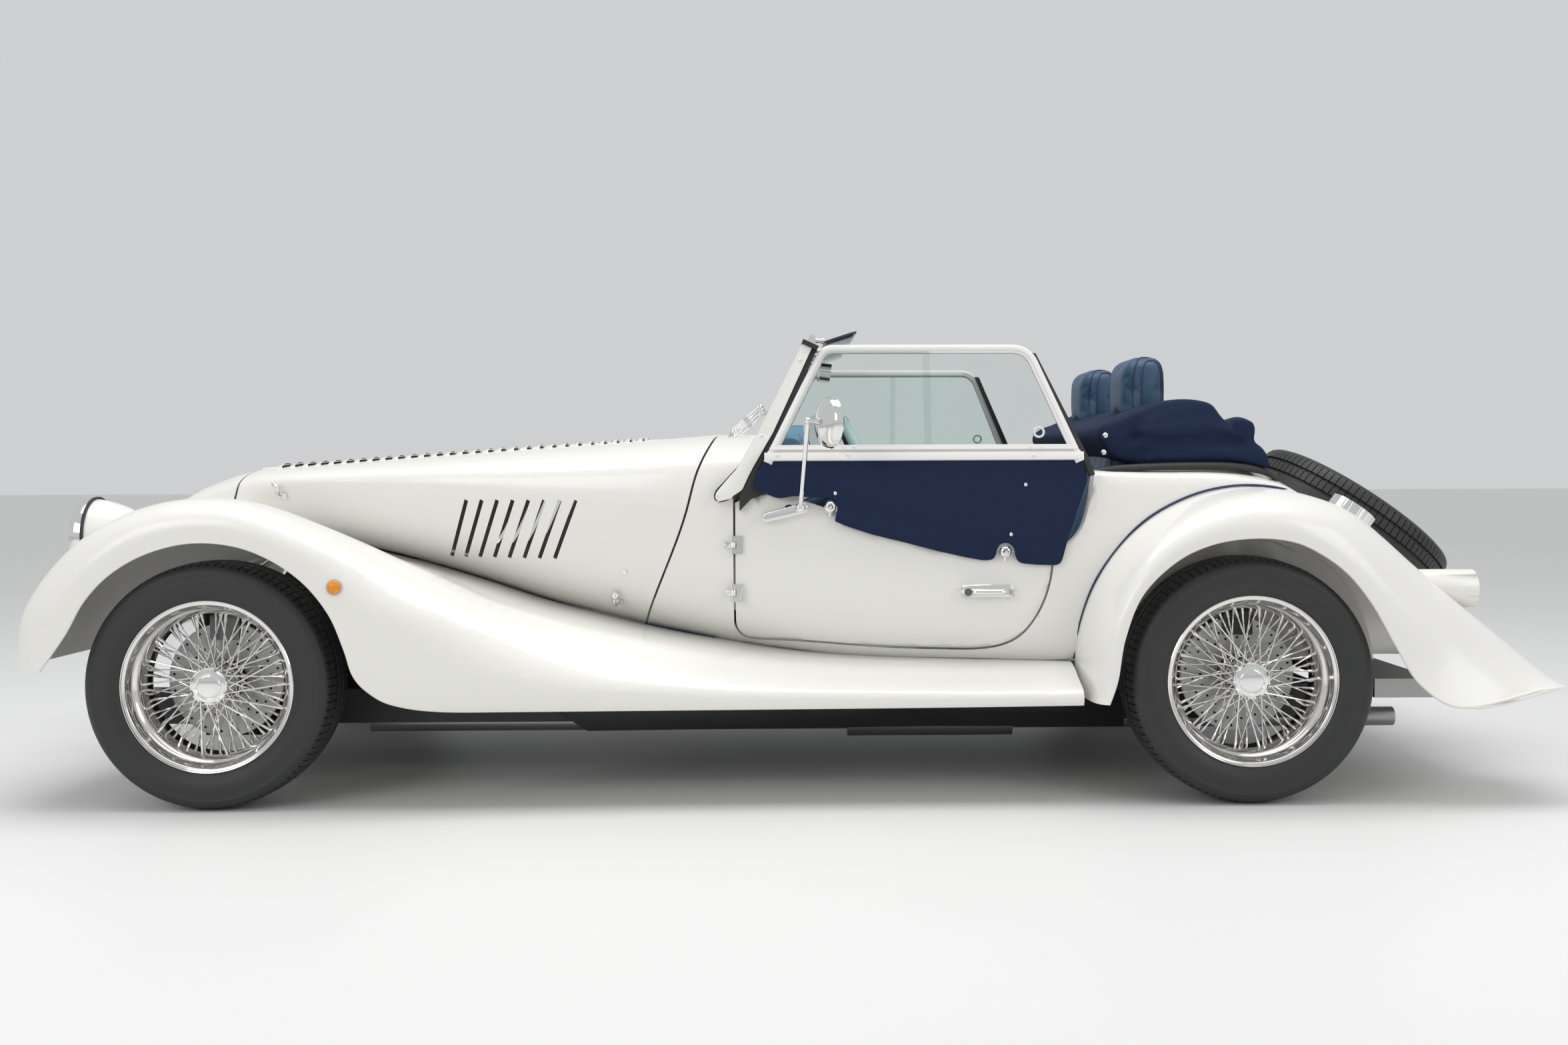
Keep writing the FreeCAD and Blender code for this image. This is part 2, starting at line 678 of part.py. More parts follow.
def deck_opening():
    # Rounded opening behind the seats, seen from above
    front = wide_x(cockpit_shares[0][0]) + body_wall
    rear = wide_x(deck_rear_share)
    half = deck_half_share * body_half_width
    low, top = [high(share) for share in deck_top_shares]
    block = box(front, rear, -half, half, low, top)
    corners = []
    for edge in block.Edges:
        upright = abs(edge.Vertexes[0].Z - edge.Vertexes[-1].Z) > body_wall
        if upright and edge.Vertexes[0].X > rear - body_wall:
            corners.append(edge)
    return block.makeFillet(deck_corner_share * body_half_width, corners)


def wheel_house(side):
    # Round recess in the body's side for the rear tyre
    radius = tyre_radius + body_wall
    inner = wheel_track_half - tyre_width / 2 - body_wall / 4
    start = V(rear_axle_x, side * inner, tyre_radius)
    return Part.makeCylinder(radius, wing_half_width, start, V(0, side, 0))


def wheel_house_wall(side):
    radius = tyre_radius + body_wall * 1.5
    inner = wheel_track_half - tyre_width / 2 - body_wall / 4 - floor_wall
    start = V(rear_axle_x, side * inner, tyre_radius)
    disc = Part.makeCylinder(radius, floor_wall, start, V(0, side, 0))
    low = edge_height(deck_rear_share)
    return disc.cut(box(rear_axle_x - radius, rear_axle_x + radius, -wing_half_width,
                        wing_half_width, 0, low))


def axle_notch():
    # Arch through the body's lower edge for the axle and its brakes
    half = disc_radius * 0.5
    return box(rear_axle_x - half, rear_axle_x + half, -wing_half_width, wing_half_width, 0,
               tyre_radius + disc_radius + disc_wall * 3)


def spare_frame():
    lean = math.radians(spare_lean)
    normal = V(math.sin(lean), 0, math.cos(lean))
    corner = V(wide_x(spare_shares[0]), 0, high(spare_shares[1]))
    along = V(math.cos(lean), 0, -math.sin(lean))
    centre = corner + along * tyre_radius - normal * (tyre_width / 2)
    return centre, normal


def spare_well(radius, wall):
    centre, normal = spare_frame()
    base = centre - normal * (tyre_width / 2 + wall)
    return Part.makeCylinder(radius, tyre_width * 2, base, normal)


def tail_panel():
    # Flat panel that closes the tail below the spare wheel
    section = tub_section(tub_shares[-1], 0)
    last = Part.LineSegment(section[-1], section[0]).toShape()
    wire = Part.Wire([smooth_edge(section), last])
    return Part.Face(wire).extrude(V(-floor_wall, 0, 0))


def thick_shell():
    return tub_shell(body_wall).cut(ahead_of(rear_seam_shares, panel_gap / 2))


def body_tub(shell):
    # Thick-walled body behind the bonnet, with cockpit and deck opening cut
    shell = shell.cut(cockpit_slab()).cut(deck_opening())
    for side in (-1, 1):
        shell = shell.cut(wheel_house(side))
    return shell


def side_range(side):
    return sorted((side * body_half_width / 2, side * wing_half_width))


def doorway(side):
    y0, y1 = side_range(side)
    return above_slab(door_shares, y0, y1)


def door_panel(side, shell):
    y0, y1 = side_range(side)
    panel = shell.common(above_slab(door_shares, y0, y1, inset=panel_gap))
    panel = largest(panel.cut(above_slab(door_top_shares, y0, y1)))
    return panel


def scuttle_and_rear(tub):
    shell = tub
    for side in (-1, 1):
        shell = shell.cut(doorway(side))
    split = wide_x(door_shares[0][0])
    top = high(outline_top_share)
    behind = wide_x(cockpit_shares[0][0]) + overrun
    low_share = 0.60
    front = shell.common(box(wide_x(0), split, -wing_half_width, wing_half_width, 0, top))
    upper = shell.common(box(split, behind, -wing_half_width, wing_half_width,
                             high(low_share), top))
    scuttle = largest(front.fuse(upper).removeSplitter())
    rear = shell.cut(box(wide_x(0), split + seat_gap, -wing_half_width, wing_half_width, 0, top))
    rear = rear.cut(box(split - overrun, behind, -wing_half_width, wing_half_width,
                        high(low_share), top))
    parts = [rear]
    for side in (-1, 1):
        parts.append(wheel_house_wall(side))
    rear = parts[0].fuse(parts[1:] + [tail_panel()])
    well = spare_well(tyre_radius * well_share, 0)
    lining = spare_well(tyre_radius * well_share + floor_wall, floor_wall)
    lining = lining.cut(well).common(tub_volume(0))
    rear = rear.cut(well).fuse(lining).cut(axle_notch())
    return scuttle, largest(rear)


def wing_y(share):
    # Place across the car: shares up to the root follow the body, the rest the wing
    if share <= root_share:
        return body_half_width * share / root_share
    reach = wing_half_width - body_half_width
    return body_half_width + reach * (share - root_share) / (1 - root_share)


def front_wing_rows():
    rows = []
    for station in front_wing_shares:
        place = station[0]
        width = edge_width(place) - tub_flange
        height = edge_height(place) - seat_gap
        inner = station[1]
        first = V(wide_x(place), -width, height)
        outer_y = -wing_y(inner[1])
        outer_x = wide_x(inner[0])
        outer_z = high(inner[2])
        drop = (outer_z - height) / 4
        second = V((first.x + outer_x) / 2, (first.y + outer_y) / 2, height + drop / 2)
        row = [first, second]
        for x, y, z in station[1:]:
            row.append(V(wide_x(x), -wing_y(y), high(z)))
        rows.append(row)
    return rows


def front_wing():
    rows = front_wing_rows()
    sheet = plate(rows, under(rows, wing_wall))
    block = tub_volume(panel_gap)
    start = wide_x(front_seam_shares[1][0]) - panel_gap
    end = wide_x(rear_seam_shares[1][0])
    moving = block.common(box(start, end, -wing_half_width, 0, 0, high(above_share)))
    sheet = sheet.cut(moving)
    sheet = sheet.cut(tub_volume(seat_gap))
    return largest(sheet)


def rear_wing():
    rows = []
    tuck_share = 0.965
    for station in rear_wing_shares:
        x, y, z = station[0]
        row = [V(rear_x(x), -wing_y(y) * tuck_share, high(z))]
        for x, y, z in station:
            row.append(V(rear_x(x), -wing_y(y), high(z)))
        rows.append(row)
    sheet = plate(rows, under(rows, wing_wall))
    return largest(sheet.cut(tub_volume(seat_gap)))


# Running gear

def tyre():
    # Section from bead to bead as straight runs, turned about the axle
    half = tyre_width / 2
    bead = rim_radius - rim_lip
    shoulder_share = 0.80
    tread_share = 0.94
    side = tyre_radius * tread_share
    points = [(-half * shoulder_share, bead), (-half, (bead + side) / 2), (-half * shoulder_share,
              side + (tyre_radius - side) * shoulder_share), (-half * 0.55, tyre_radius),
              (half * 0.55, tyre_radius), (half * shoulder_share,
              side + (tyre_radius - side) * shoulder_share), (half, (bead + side) / 2),
              (half * shoulder_share, bead)]
    corners = [V(0, y, z) for y, z in points]
    face = Part.Face(Part.makePolygon(corners + [corners[0]]))
    return face.revolve(V(0, 0, 0), V(0, 1, 0), 360)


def rim():
    # Drop-centre rim, open to the inside
    half = rim_width / 2
    bead = rim_radius - rim_lip
    well = rim_radius * rim_well_share
    outer = [(-half, rim_radius), (-half + rim_wall, rim_radius),
             (-half + rim_wall, bead - seat_gap), (-half * 0.55, bead - rim_wall),
             (-half * 0.35, well), (half * 0.35, well), (half * 0.55, bead - rim_wall),
             (half - rim_wall, bead - seat_gap), (half - rim_wall, rim_radius),
             (half, rim_radius)]
    inner = [(half, bead - rim_lip), (half * 0.35 + rim_wall, well - rim_wall),
             (-half * 0.35 - rim_wall, well - rim_wall), (-half, bead - rim_lip)]
    corners = [V(0, y, z) for y, z in outer + inner]
    face = Part.Face(Part.makePolygon(corners + [corners[0]]))
    return face.revolve(V(0, 0, 0), V(0, 1, 0), 360)


def hub():
    # Barrel with a closed outer end, seen from the left side of the car
    barrel = Part.makeCylinder(hub_radius, hub_length, V(0, -hub_length / 2, 0), V(0, 1, 0))
    cap = Part.makeCylinder(hub_cap_radius, hub_cap_depth,
                            V(0, -hub_length / 2 - hub_cap_depth, 0), V(0, 1, 0))
    disc = Part.makeCylinder(disc_radius, disc_wall, V(0, disc_inboard, 0), V(0, 1, 0))
    neck = Part.makeCylinder(hub_radius * 1.2, disc_inboard - hub_length / 2 + disc_wall,
                             V(0, hub_length / 2, 0), V(0, 1, 0))
    bore = Part.makeCylinder(stub_radius + pin_clearance, hub_length,
                             V(0, -hub_length / 2 + hub_radius / 2, 0), V(0, 1, 0))
    return barrel.fuse(cap).fuse(disc).fuse(neck).cut(bore)


def spoked_wheel():
    # Crossed spokes in two rows between the hub's barrel and the rim
    outer_radius = rim_radius * rim_well_share - rim_wall / 2
    wheel = rim().fuse(hub())
    spokes = []
    ends = [(-hub_length / 2 + hub_radius / 3, -rim_width / 8),
            (hub_length / 2 - hub_radius / 3, rim_width / 8)]
    for row, (hub_y, rim_y) in enumerate(ends):
        for index in range(spoke_count // 2):
            turn = 2 * math.pi * (index + row / 2) / (spoke_count // 2)
            lead = math.pi / 7 if index % 2 else -math.pi / 7
            start = V(hub_radius * 0.8 * math.cos(turn), hub_y, hub_radius * 0.8 * math.sin(turn))
            end = V(outer_radius * math.cos(turn + lead), rim_y,
                    outer_radius * math.sin(turn + lead))
            spokes.append(rod(start, end, spoke_radius))
    wheel = wheel.multiFuse(spokes)
    return largest(wheel)


def placed(shape, x, side):
    # A wheel made for the left side, moved to its axle end
    if side > 0:
        shape = mirrored(shape)
    else:
        shape = shape.copy()
    shape.translate(V(x, side * wheel_track_half, tyre_radius))
    return shape


def knuckle(side):
    # Upright inboard of the rim with a stub axle and its brake caliper
    inner = wheel_track_half - kingpin_inboard
    post = Part.makeCylinder(upright_wall / 2, upright_height,
                             V(front_axle_x, side * inner, tyre_radius - upright_height / 2),
                             V(0, 0, 1))
    stub_end = wheel_track_half + hub_length / 2 - hub_radius
    stub = rod(V(front_axle_x, side * inner, tyre_radius),
               V(front_axle_x, side * stub_end, tyre_radius), stub_radius)
    return post.fuse(stub).fuse(caliper(front_axle_x, side)).fuse(steering_arm(side))


def caliper(axle_x, side):
    # Straddles the top of the brake disc, which turns with the wheel
    face = wheel_track_half - disc_inboard
    gap = panel_gap
    reach = disc_radius + gap + disc_wall
    kingpin = wheel_track_half - kingpin_inboard
    inner = kingpin + arm_radius + gap
    outer = face + gap + disc_wall
    half = disc_wall * 3
    low = tyre_radius + stub_radius
    leg_y = face - disc_wall - gap
    leg = sorted_box(axle_x - half, axle_x + half, side * inner, side * leg_y, low,
                     tyre_radius + reach)
    bridge = sorted_box(axle_x - half, axle_x + half, side * inner, side * outer,
                        tyre_radius + disc_radius + gap, tyre_radius + reach)
    pad = sorted_box(axle_x - half, axle_x + half, side * (outer - gap), side * outer,
                     tyre_radius + disc_radius * 0.7, tyre_radius + reach)
    arm = sorted_box(axle_x - half, axle_x + half, side * kingpin, side * leg_y, low,
                     tyre_radius + upright_height / 2 - gap * 2)
    return leg.fuse(bridge).fuse(pad).fuse(arm)


def sorted_box(x0, x1, y0, y1, z0, z1):
    y0, y1 = sorted((y0, y1))
    return box(x0, x1, y0, y1, z0, z1)


def steering_arm(side):
    inner = wheel_track_half - kingpin_inboard
    start = V(front_axle_x, side * inner, tyre_radius - upright_height / 4)
    end = start + V(-upright_height / 2, -side * upright_wall, 0)
    return rod(start, end, arm_radius * 0.7)


def front_suspension():
    # Cross member, towers, steering rack and the arms that reach the uprights
    inner = wheel_track_half - kingpin_inboard
    tower = rail_half_gap + rail_width + seat_gap
    beam_low = rail_bottom - rail_width / 2
    plate_outer = tower + disc_wall
    shape = box(front_axle_x - rail_width, front_axle_x + rail_width, -plate_outer,
                plate_outer, beam_low, rail_bottom - seat_gap)
    top = tyre_radius + upright_height / 2 + rail_width
    rack_x = front_axle_x - upright_height / 2
    rack_z = rail_bottom + rail_height + arm_radius * 1.2
    rack_end = V(0, plate_outer, 0)
    rack = V(rack_x, 0, rack_z)
    shape = shape.fuse(rod(rack - rack_end, rack + rack_end, arm_radius))
    for side in (-1, 1):
        shape = shape.fuse(sorted_box(rack_x - arm_radius * 1.5, front_axle_x - rack_x
                                      + front_axle_x + arm_radius * 1.5, side * tower,
                                      side * plate_outer, beam_low, top))
        for level in (-1, 1):
            z = tyre_radius + level * (upright_height / 2 + arm_radius + seat_gap)
            hub_end = V(front_axle_x, side * inner, z)
            eye = V(0, 0, arm_radius)
            shape = shape.fuse(rod(hub_end - eye, hub_end + eye, arm_radius))
            for spread in (-1, 1):
                root = V(front_axle_x + spread * rail_width * 1.8,
                         side * (plate_outer - disc_wall / 4), z)
                shape = shape.fuse(rod(root, hub_end, arm_radius))
        low = V(front_axle_x, side * (inner - arm_radius * 3),
                tyre_radius - upright_height / 2 - arm_radius)
        high_end = V(front_axle_x, side * (plate_outer + arm_radius), top - arm_radius)
        shape = shape.fuse(rod(low, high_end, arm_radius * 2))
    return shape


def rear_axle():
    # Live axle with its differential casing, brakes and leaf springs
    end = wheel_track_half + hub_length / 2 - hub_radius
    shape = rod(V(rear_axle_x, -end, tyre_radius), V(rear_axle_x, end, tyre_radius), stub_radius)
    inner = wheel_track_half - disc_inboard - disc_wall - panel_gap
    tube_radius = stub_radius * 2
    casing = rod(V(rear_axle_x, -inner, tyre_radius), V(rear_axle_x, inner, tyre_radius),
                 tube_radius)
    ball = Part.makeSphere(upright_height * 0.38, V(rear_axle_x, 0, tyre_radius))
    shape = shape.fuse(casing).fuse(ball)
    spring_wall = rail_width * 0.3
    reach = rear_rail_reach() * 0.8
    top = rail_bottom + rail_height - spring_wall / 4
    low = top - spring_wall * 1.8
    for side in (-1, 1):
        shape = shape.fuse(caliper(rear_axle_x, side))
        corners = [V(rear_axle_x - reach, 0, low), V(rear_axle_x, 0, top),
                   V(rear_axle_x + reach, 0, low)]
        upper = Part.Arc(corners[0], corners[1], corners[2]).toShape()
        down = V(0, 0, -spring_wall)
        lower = Part.Arc(corners[0] + down, corners[1] + down, corners[2] + down).toShape()
        first = Part.LineSegment(corners[0] + down, corners[0]).toShape()
        last = Part.LineSegment(corners[2], corners[2] + down).toShape()
        leaf = Part.Face(Part.Wire([first, upper, last, lower]))
        y0, y1 = sorted((side * (rail_half_gap - seat_gap), side * (rail_half_gap - rail_width)))
        leaf.translate(V(0, y0, 0))
        shape = shape.fuse(leaf.extrude(V(0, y1 - y0, 0)))
        saddle = box(rear_axle_x - tube_radius, rear_axle_x + tube_radius, y0, y1,
                     top - spring_wall / 2, tyre_radius)
        shape = shape.fuse(saddle)
    return shape


def rear_rail_reach():
    return rear_overhang * rail_reach_share


def tow_bore(side):
    # Lashing hole up through the front end of each rail
    x = front_axle_x - tyre_radius + rail_width * 0.75
    y = side * (rail_half_gap + rail_width / 2)
    return V(x, y, rail_bottom - overrun), V(x, y, rail_bottom + rail_height + overrun)


def jack_pad(side):
    # Pad under the rail that a jack lifts
    x = wide_x(jack_share)
    return sorted_box(x - jack_pad_length / 2, x + jack_pad_length / 2, side * rail_half_gap,
                      side * (rail_half_gap + rail_width), rail_bottom - jack_pad_depth,
                      rail_bottom)


def chassis():
    # Two long rails with cross members; the rear ends pass under the axle
    front = front_axle_x - tyre_radius
    rear = rear_axle_x + rear_rail_reach()
    shape = None
    for side in (-1, 1):
        rail = sorted_box(front, rear, side * rail_half_gap, side * (rail_half_gap + rail_width),
                          rail_bottom, rail_bottom + rail_height)
        shape = rail if shape is None else shape.fuse(rail)
    member_shares = (0.035, 0.31, 0.49, 0.74, 0.985)
    for share in member_shares:
        x = front + share * (rear - front)
        member = box(x - rail_width / 2, x + rail_width / 2, -rail_half_gap, rail_half_gap,
                     rail_bottom, rail_bottom + rail_height * 0.6)
        shape = shape.fuse(member)
    for side in (-1, 1):
        start, end = tow_bore(side)
        shape = shape.fuse(jack_pad(side)).cut(rod(start, end, tow_bore_radius))
    return shape.removeSplitter()


def floor_top():
    return rail_bottom + rail_height + seat_gap + floor_wall


def floor_pan():
    # Flat floor under the cockpit with its sills, dark skirts and two bulkheads
    top = floor_top()
    low = top - floor_wall
    station_shares = [0.404, 0.480, 0.536, 0.603, 0.714, 0.837, 0.950]
    slack = tub_flange * 1.6
    wires = []
    for place in station_shares:
        half = edge_width(place) - slack
        corners = [V(wide_x(place), -half, low), V(wide_x(place), half, low),
                   V(wide_x(place), half, top), V(wide_x(place), -half, top)]
        wires.append(Part.makePolygon(corners + [corners[0]]))
    pan = Part.makeLoft(wires, True, True)
    for side in (-1, 1):
        wires = []
        for place in station_shares[:-1]:
            half = edge_width(place) - slack
            inner = half - tub_flange
            x = wide_x(place)
            height = edge_height(place) + tub_flange
            corners = [V(x, side * half, low), V(x, side * half, height),
                       V(x, side * inner, height), V(x, side * inner, low)]
            wires.append(Part.makePolygon(corners + [corners[0]]))
        pan = pan.fuse(Part.makeLoft(wires, True, True))
    pan = pan.fuse(side_skirts()).fuse(bulkheads())
    return largest(pan.cut(tub_shell(body_wall + seat_gap)).removeSplitter())


def side_skirts():
    # Dark skirts that show under the running boards
    shapes = []
    inner = rail_half_gap + rail_width + seat_gap
    top = floor_top() - floor_wall / 2
    for side in (-1, 1):
        y0, y1 = sorted((side * (inner + body_wall * 2), side * inner))
        low_points = side_points(skirt_shares)
        points = [(low_points[0][0], top)] + low_points + [(low_points[-1][0], top)]
        shapes.append(side_slab(points, y0, y1))
    return shapes


def member_top():
    return rail_bottom + rail_height * 0.6


def engine_block():
    x0 = front_axle_x + tyre_radius * 0.3
    half = rail_half_gap * 0.62
    return box(x0, wide_x(engine_shares[0]), -half, half, member_top() + seat_gap,
               high(engine_shares[1]))


def radiator():
    x0 = wide_x(radiator_shares[0])
    half = rail_half_gap * 0.40
    return box(x0 - body_wall, x0, -half, half, member_top() + seat_gap,
               high(radiator_shares[1]))


def section_block(row, inset, shift):
    # A slice inside the body's skin, as deep as the shift
    section = tub_section(row, inset)
    last = Part.LineSegment(section[-1], section[0]).toShape()
    return Part.Face(Part.Wire([smooth_edge(section), last])).extrude(V(shift, 0, 0))


def grille():
    # Upright bars in the cowl's mouth, held by a rim that follows it
    nose = tub_shares[0]
    inset = bonnet_wall * 2 + seat_gap
    rim_block = section_block(nose, inset, grille_depth)
    mouth = section_block(nose, inset + grille_rim, grille_depth)
    bottom = high(nose[3])
    mouth = mouth.cut(box(wide_x(nose[1]) - overrun, wide_x(0), -body_half_width,
                          body_half_width, 0, bottom + grille_rim))
    shape = rim_block.cut(mouth)
    half = nose[5] * body_half_width
    pitch = 2 * half / (grille_bars + 1)
    front = wide_x(nose[1]) - overrun
    bars = []
    for index in range(grille_bars):
        y = -half + pitch * (index + 1)
        bars.append(box(front, wide_x(0), y - grille_bar / 2, y + grille_bar / 2, bottom,
                        high(nose[2])))
    slats = section_block(nose, inset, grille_depth * 0.6)
    slats = slats.common(Part.makeCompound(bars))
    shape = shape.fuse(slats.Solids)
    return largest(shape.common(tub_volume(-inset)))


def bulkheads():
    # Scuttle bulkhead ahead of the pedals and the one behind the seats
    inside = tub_volume(-body_wall - seat_gap)
    low = floor_top() - floor_wall / 2
    shapes = []
    for share in bulkhead_shares:
        x = wide_x(share)
        slab = box(x - floor_wall, x, -body_half_width, body_half_width, low,
                   high(above_share))
        shapes.append(largest(slab.common(inside)))
    return shapes


def dashboard():
    # Facia under the scuttle's edge with the padded binnacle ahead of the driver
    inside = tub_volume(-body_wall - seat_gap)
    x1 = wide_x(cockpit_shares[0][0])
    slab = box(x1 - facia_wall, x1, -body_half_width, body_half_width, high(facia_foot_share),
               high(above_share))
    clear = tub_volume(-body_wall - panel_gap - pin_clearance)
    above_doors = box(x1 - facia_wall, x1, -body_half_width, body_half_width,
                      high(facia_step_share), high(above_share))
    slab = largest(slab.common(clear).fuse(slab.common(inside).common(above_doors)))
    top = high(binnacle_top_share)
    centre, axis = steering_frame()
    neck_radius = binnacle_radius * 0.6
    x2 = x1 + facia_wall * 1.4
    neck = rod(V(x1 - facia_wall, centre.y, top - binnacle_radius),
               V(x1, centre.y, top - binnacle_radius), neck_radius).common(inside)
    neck = neck.fuse(rod(V(x1, centre.y, top - binnacle_radius),
                         V(x2, centre.y, top - binnacle_radius), neck_radius))
    pod = rod(V(x2, centre.y, top - binnacle_radius),
              V(x2 + facia_wall * 2.4, centre.y, top - binnacle_radius), binnacle_radius)
    column_end = steering_tube * 2 + seat_gap
    column = rod(centre - axis * (centre.x - x1 + facia_wall), centre - axis * column_end,
                 column_radius)
    return slab.fuse(neck).fuse(pod).fuse(column)


def steering_frame():
    lean = math.radians(steering_lean)
    centre = V(wide_x(steering_shares[0]), -wheel_offset, high(steering_shares[1]))
    axis = V(math.cos(lean), 0, math.sin(lean))
    return centre, axis


def steering_wheel():
    # Three spokes, thick rim and boss
    centre, axis = steering_frame()
    ring = Part.makeTorus(steering_radius - steering_tube, steering_tube)
    boss = Part.makeCylinder(column_radius * 1.6, steering_tube * 2, V(0, 0, -steering_tube * 2))
    shape = ring.fuse(boss)
    for index in range(3):
        turn = 2 * math.pi * index / 3 + math.pi / 6
        spoke = box(0, steering_radius - steering_tube, -steering_tube, steering_tube,
                    -steering_tube / 2, 0)
        spoke.rotate(V(0, 0, 0), V(0, 0, 1), math.degrees(turn))
        shape = shape.fuse(spoke)
    shape.rotate(V(0, 0, 0), V(0, 0, 1), 90)
    shape.rotate(V(0, 0, 0), V(0, 1, 0), 90 - steering_lean)
    shape.translate(centre)
    return shape


def seat(side):
    # Cushion, leaning back and head restraint as one soft solid
    half = seat_width / 2
    y0 = side * seat_offset - half
    y1 = side * seat_offset + half
    low = floor_top() + seat_gap
    rear = wide_x(seat_shares[0])
    cushion = soft_box(rear - cushion_length, rear, y0, y1, low, low + cushion_height,
                       seat_round)
    length = (high(seat_shares[1]) - low) / math.cos(math.radians(seat_lean))
    back = soft_box(rear - seat_back_wall, rear, y0, y1, low - overrun * 2, low + length,
                    seat_round)
    back.rotate(V(rear, 0, low), V(0, 1, 0), seat_lean)
    back = back.cut(box(rear - cushion_length, rear + cushion_length, y0, y1, 0, low))
    rest_x = wide_x(headrest_shares[0])
    rest_z = high(headrest_shares[1])
    rest = soft_box(rest_x, rest_x + headrest_wall, side * seat_offset - headrest_width / 2,
                    side * seat_offset + headrest_width / 2, rest_z - seat_round,
                    rest_z + headrest_height, headrest_round)
    return cushion.fuse(back).fuse(rest)


def soft_box(x0, x1, y0, y1, z0, z1, radius):
    block = box(x0, x1, y0, y1, z0, z1)
    return block.makeFillet(radius, block.Edges)


def hood():
    # Folded hood as one soft pile across the car behind the seats
    half = body_half_width * hood_half_share
    pile = smooth_slab(side_points(hood_shares), -half, half)
    return largest(pile.cut(tub_volume(seat_gap)))


def windscreen_frame():
    # Two pillars bolted to the scuttle's sides, with top and bottom rails
    block = tub_volume(seat_gap)
    half = body_half_width * screen_half_share
    front_low, rear_low = pillar_shares[1], pillar_shares[4]
    front_high, rear_high = pillar_shares[2], pillar_shares[3]
    drop_share = 0.075
    slope = (front_high[0] - front_low[0]) / (front_high[1] - front_low[1])
    strip = [(front_low[0] - slope * drop_share, front_low[1] - drop_share), front_high,
             rear_high, (rear_low[0] - slope * drop_share, rear_low[1] - drop_share)]
    frame = side_slab(side_points(strip), -half, half)
    opening = screen_opening(half, 0)
    shape = frame.cut(opening)
    for side in (-1, 1):
        shape = shape.fuse(windscreen_pillar(side))
    return largest(shape.cut(block))


def screen_opening(half, inset):
    front, rear, low, top = screen_hole_shares
    width = half - pillar_width + seat_gap - inset
    return box(wide_x(front), wide_x(rear), -width, width, high(low) + inset,
               high(top) - inset)


def windscreen_glass():
    half = body_half_width * screen_half_share
    front_low, front_high = pillar_shares[1], pillar_shares[2]
    rear_low = pillar_shares[4]
    middle = (rear_low[0] - front_low[0]) / 3
    strip = [(front_low[0] + middle, front_low[1]), (front_high[0] + middle, front_high[1])]
    points = side_points(strip)
    points += [(x + glass_wall, z) for x, z in reversed(points)]
    slab = side_slab(points, -half, half)
    return slab.common(screen_opening(half, seat_gap))


def windscreen_pillar(side):
    block = side_slab(side_points(pillar_shares), -pillar_width, pillar_width)
    foot = high(pillar_shares[0][1])
    block.rotate(V(0, 0, foot), V(1, 0, 0), side * pillar_lean)
    block.translate(V(0, side * (body_half_width - pillar_width / 2), 0))
    return block


def leaned(shape, side):
    # Tilted inwards about the side screen's foot
    foot = high(screen_foot_share)
    y = side * (screen_plane)
    shape.rotate(V(0, y, foot), V(1, 0, 0), side * screen_lean)
    return shape


def ring_points(inset):
    corners = [V(x, 0, z) for x, z in side_points(screen_ring_shares)]
    wire = Part.makePolygon(corners + [corners[0]])
    if inset:
        wire = wire.makeOffset2D(-inset)
    return wire


def side_screen(side):
    # Frame with its stiff cloth skirt and the two stays that hold it to the door
    outer = Part.Face(ring_points(0))
    inner = Part.Face(ring_points(screen_top_rail))
    ring = outer.cut(inner).extrude(V(0, screen_wall, 0))
    ring.translate(V(0, side * screen_plane - screen_wall / 2, 0))
    ring = leaned(ring, side)
    y0, y1 = sorted((side * (screen_plane - cloth_wall / 2),
                     side * (screen_plane + cloth_wall / 2)))
    cloth = smooth_cloth(y0, y1)
    shape = ring.fuse(cloth)
    for x_share, z_share in stay_shares:
        x = wide_x(x_share)
        stay = sorted_box(x - cloth_wall * 2, x + cloth_wall * 2,
                          side * body_half_width * stay_root_share, side * screen_plane,
                          high(z_share), high(z_share) + screen_rail * 2)
        shape = shape.fuse(stay)
    return shape.cut(tub_volume(seat_gap))


def smooth_cloth(y0, y1):
    points = side_points(cloth_shares)
    return side_slab(points, y0, y1)


def side_glass(side):
    inner = Part.Face(ring_points(screen_top_rail + seat_gap))
    pane = inner.extrude(V(0, glass_wall, 0))
    pane.translate(V(0, side * screen_plane - glass_wall / 2, 0))
    return leaned(pane, side)


def door(side, shell):
    # Door with its handle and the mirror that stands on its front end
    panel = door_panel(side, shell)
    width = between_width(handle_width_share)
    x = wide_x(handle_shares[0])
    z = high(handle_shares[1])
    bar = sorted_box(x, x + handle_length, side * (width - handle_depth),
                     side * (width + handle_depth), z - handle_height / 2,
                     z + handle_height / 2)
    bar = bar.makeFillet(handle_height / 3, [e for e in bar.Edges
                                             if abs(e.tangentAt(e.FirstParameter).y) > 0.9])
    panel = panel.fuse(bar.cut(tub_volume(0)))
    for z_share in door_hinge_shares:
        panel = panel.fuse(hinge_moving(side, high(z_share)))
    return panel


def hinge_root():
    return hinge_plane - body_wall


def hinge_barrel(side, low, top, radius):
    x = wide_x(door_shares[0][0])
    return rod(V(x, side * hinge_plane, low), V(x, side * hinge_plane, top), radius)


def hinge_fixed(side, z):
    # Middle barrel with its pin and the leaf on the scuttle
    x = wide_x(door_shares[0][0])
    half = hinge_height / 6 - pin_clearance / 2
    leaf = sorted_box(x - hinge_leaf, x, side * hinge_root(), side * (hinge_plane + hinge_wall / 2),
                      z - half, z + half)
    barrel = hinge_barrel(side, z - half, z + half, hinge_barrel_radius)
    pin = hinge_barrel(side, z - hinge_height / 2, z + hinge_height / 2, hinge_pin_radius)
    return leaf.fuse([barrel, pin])


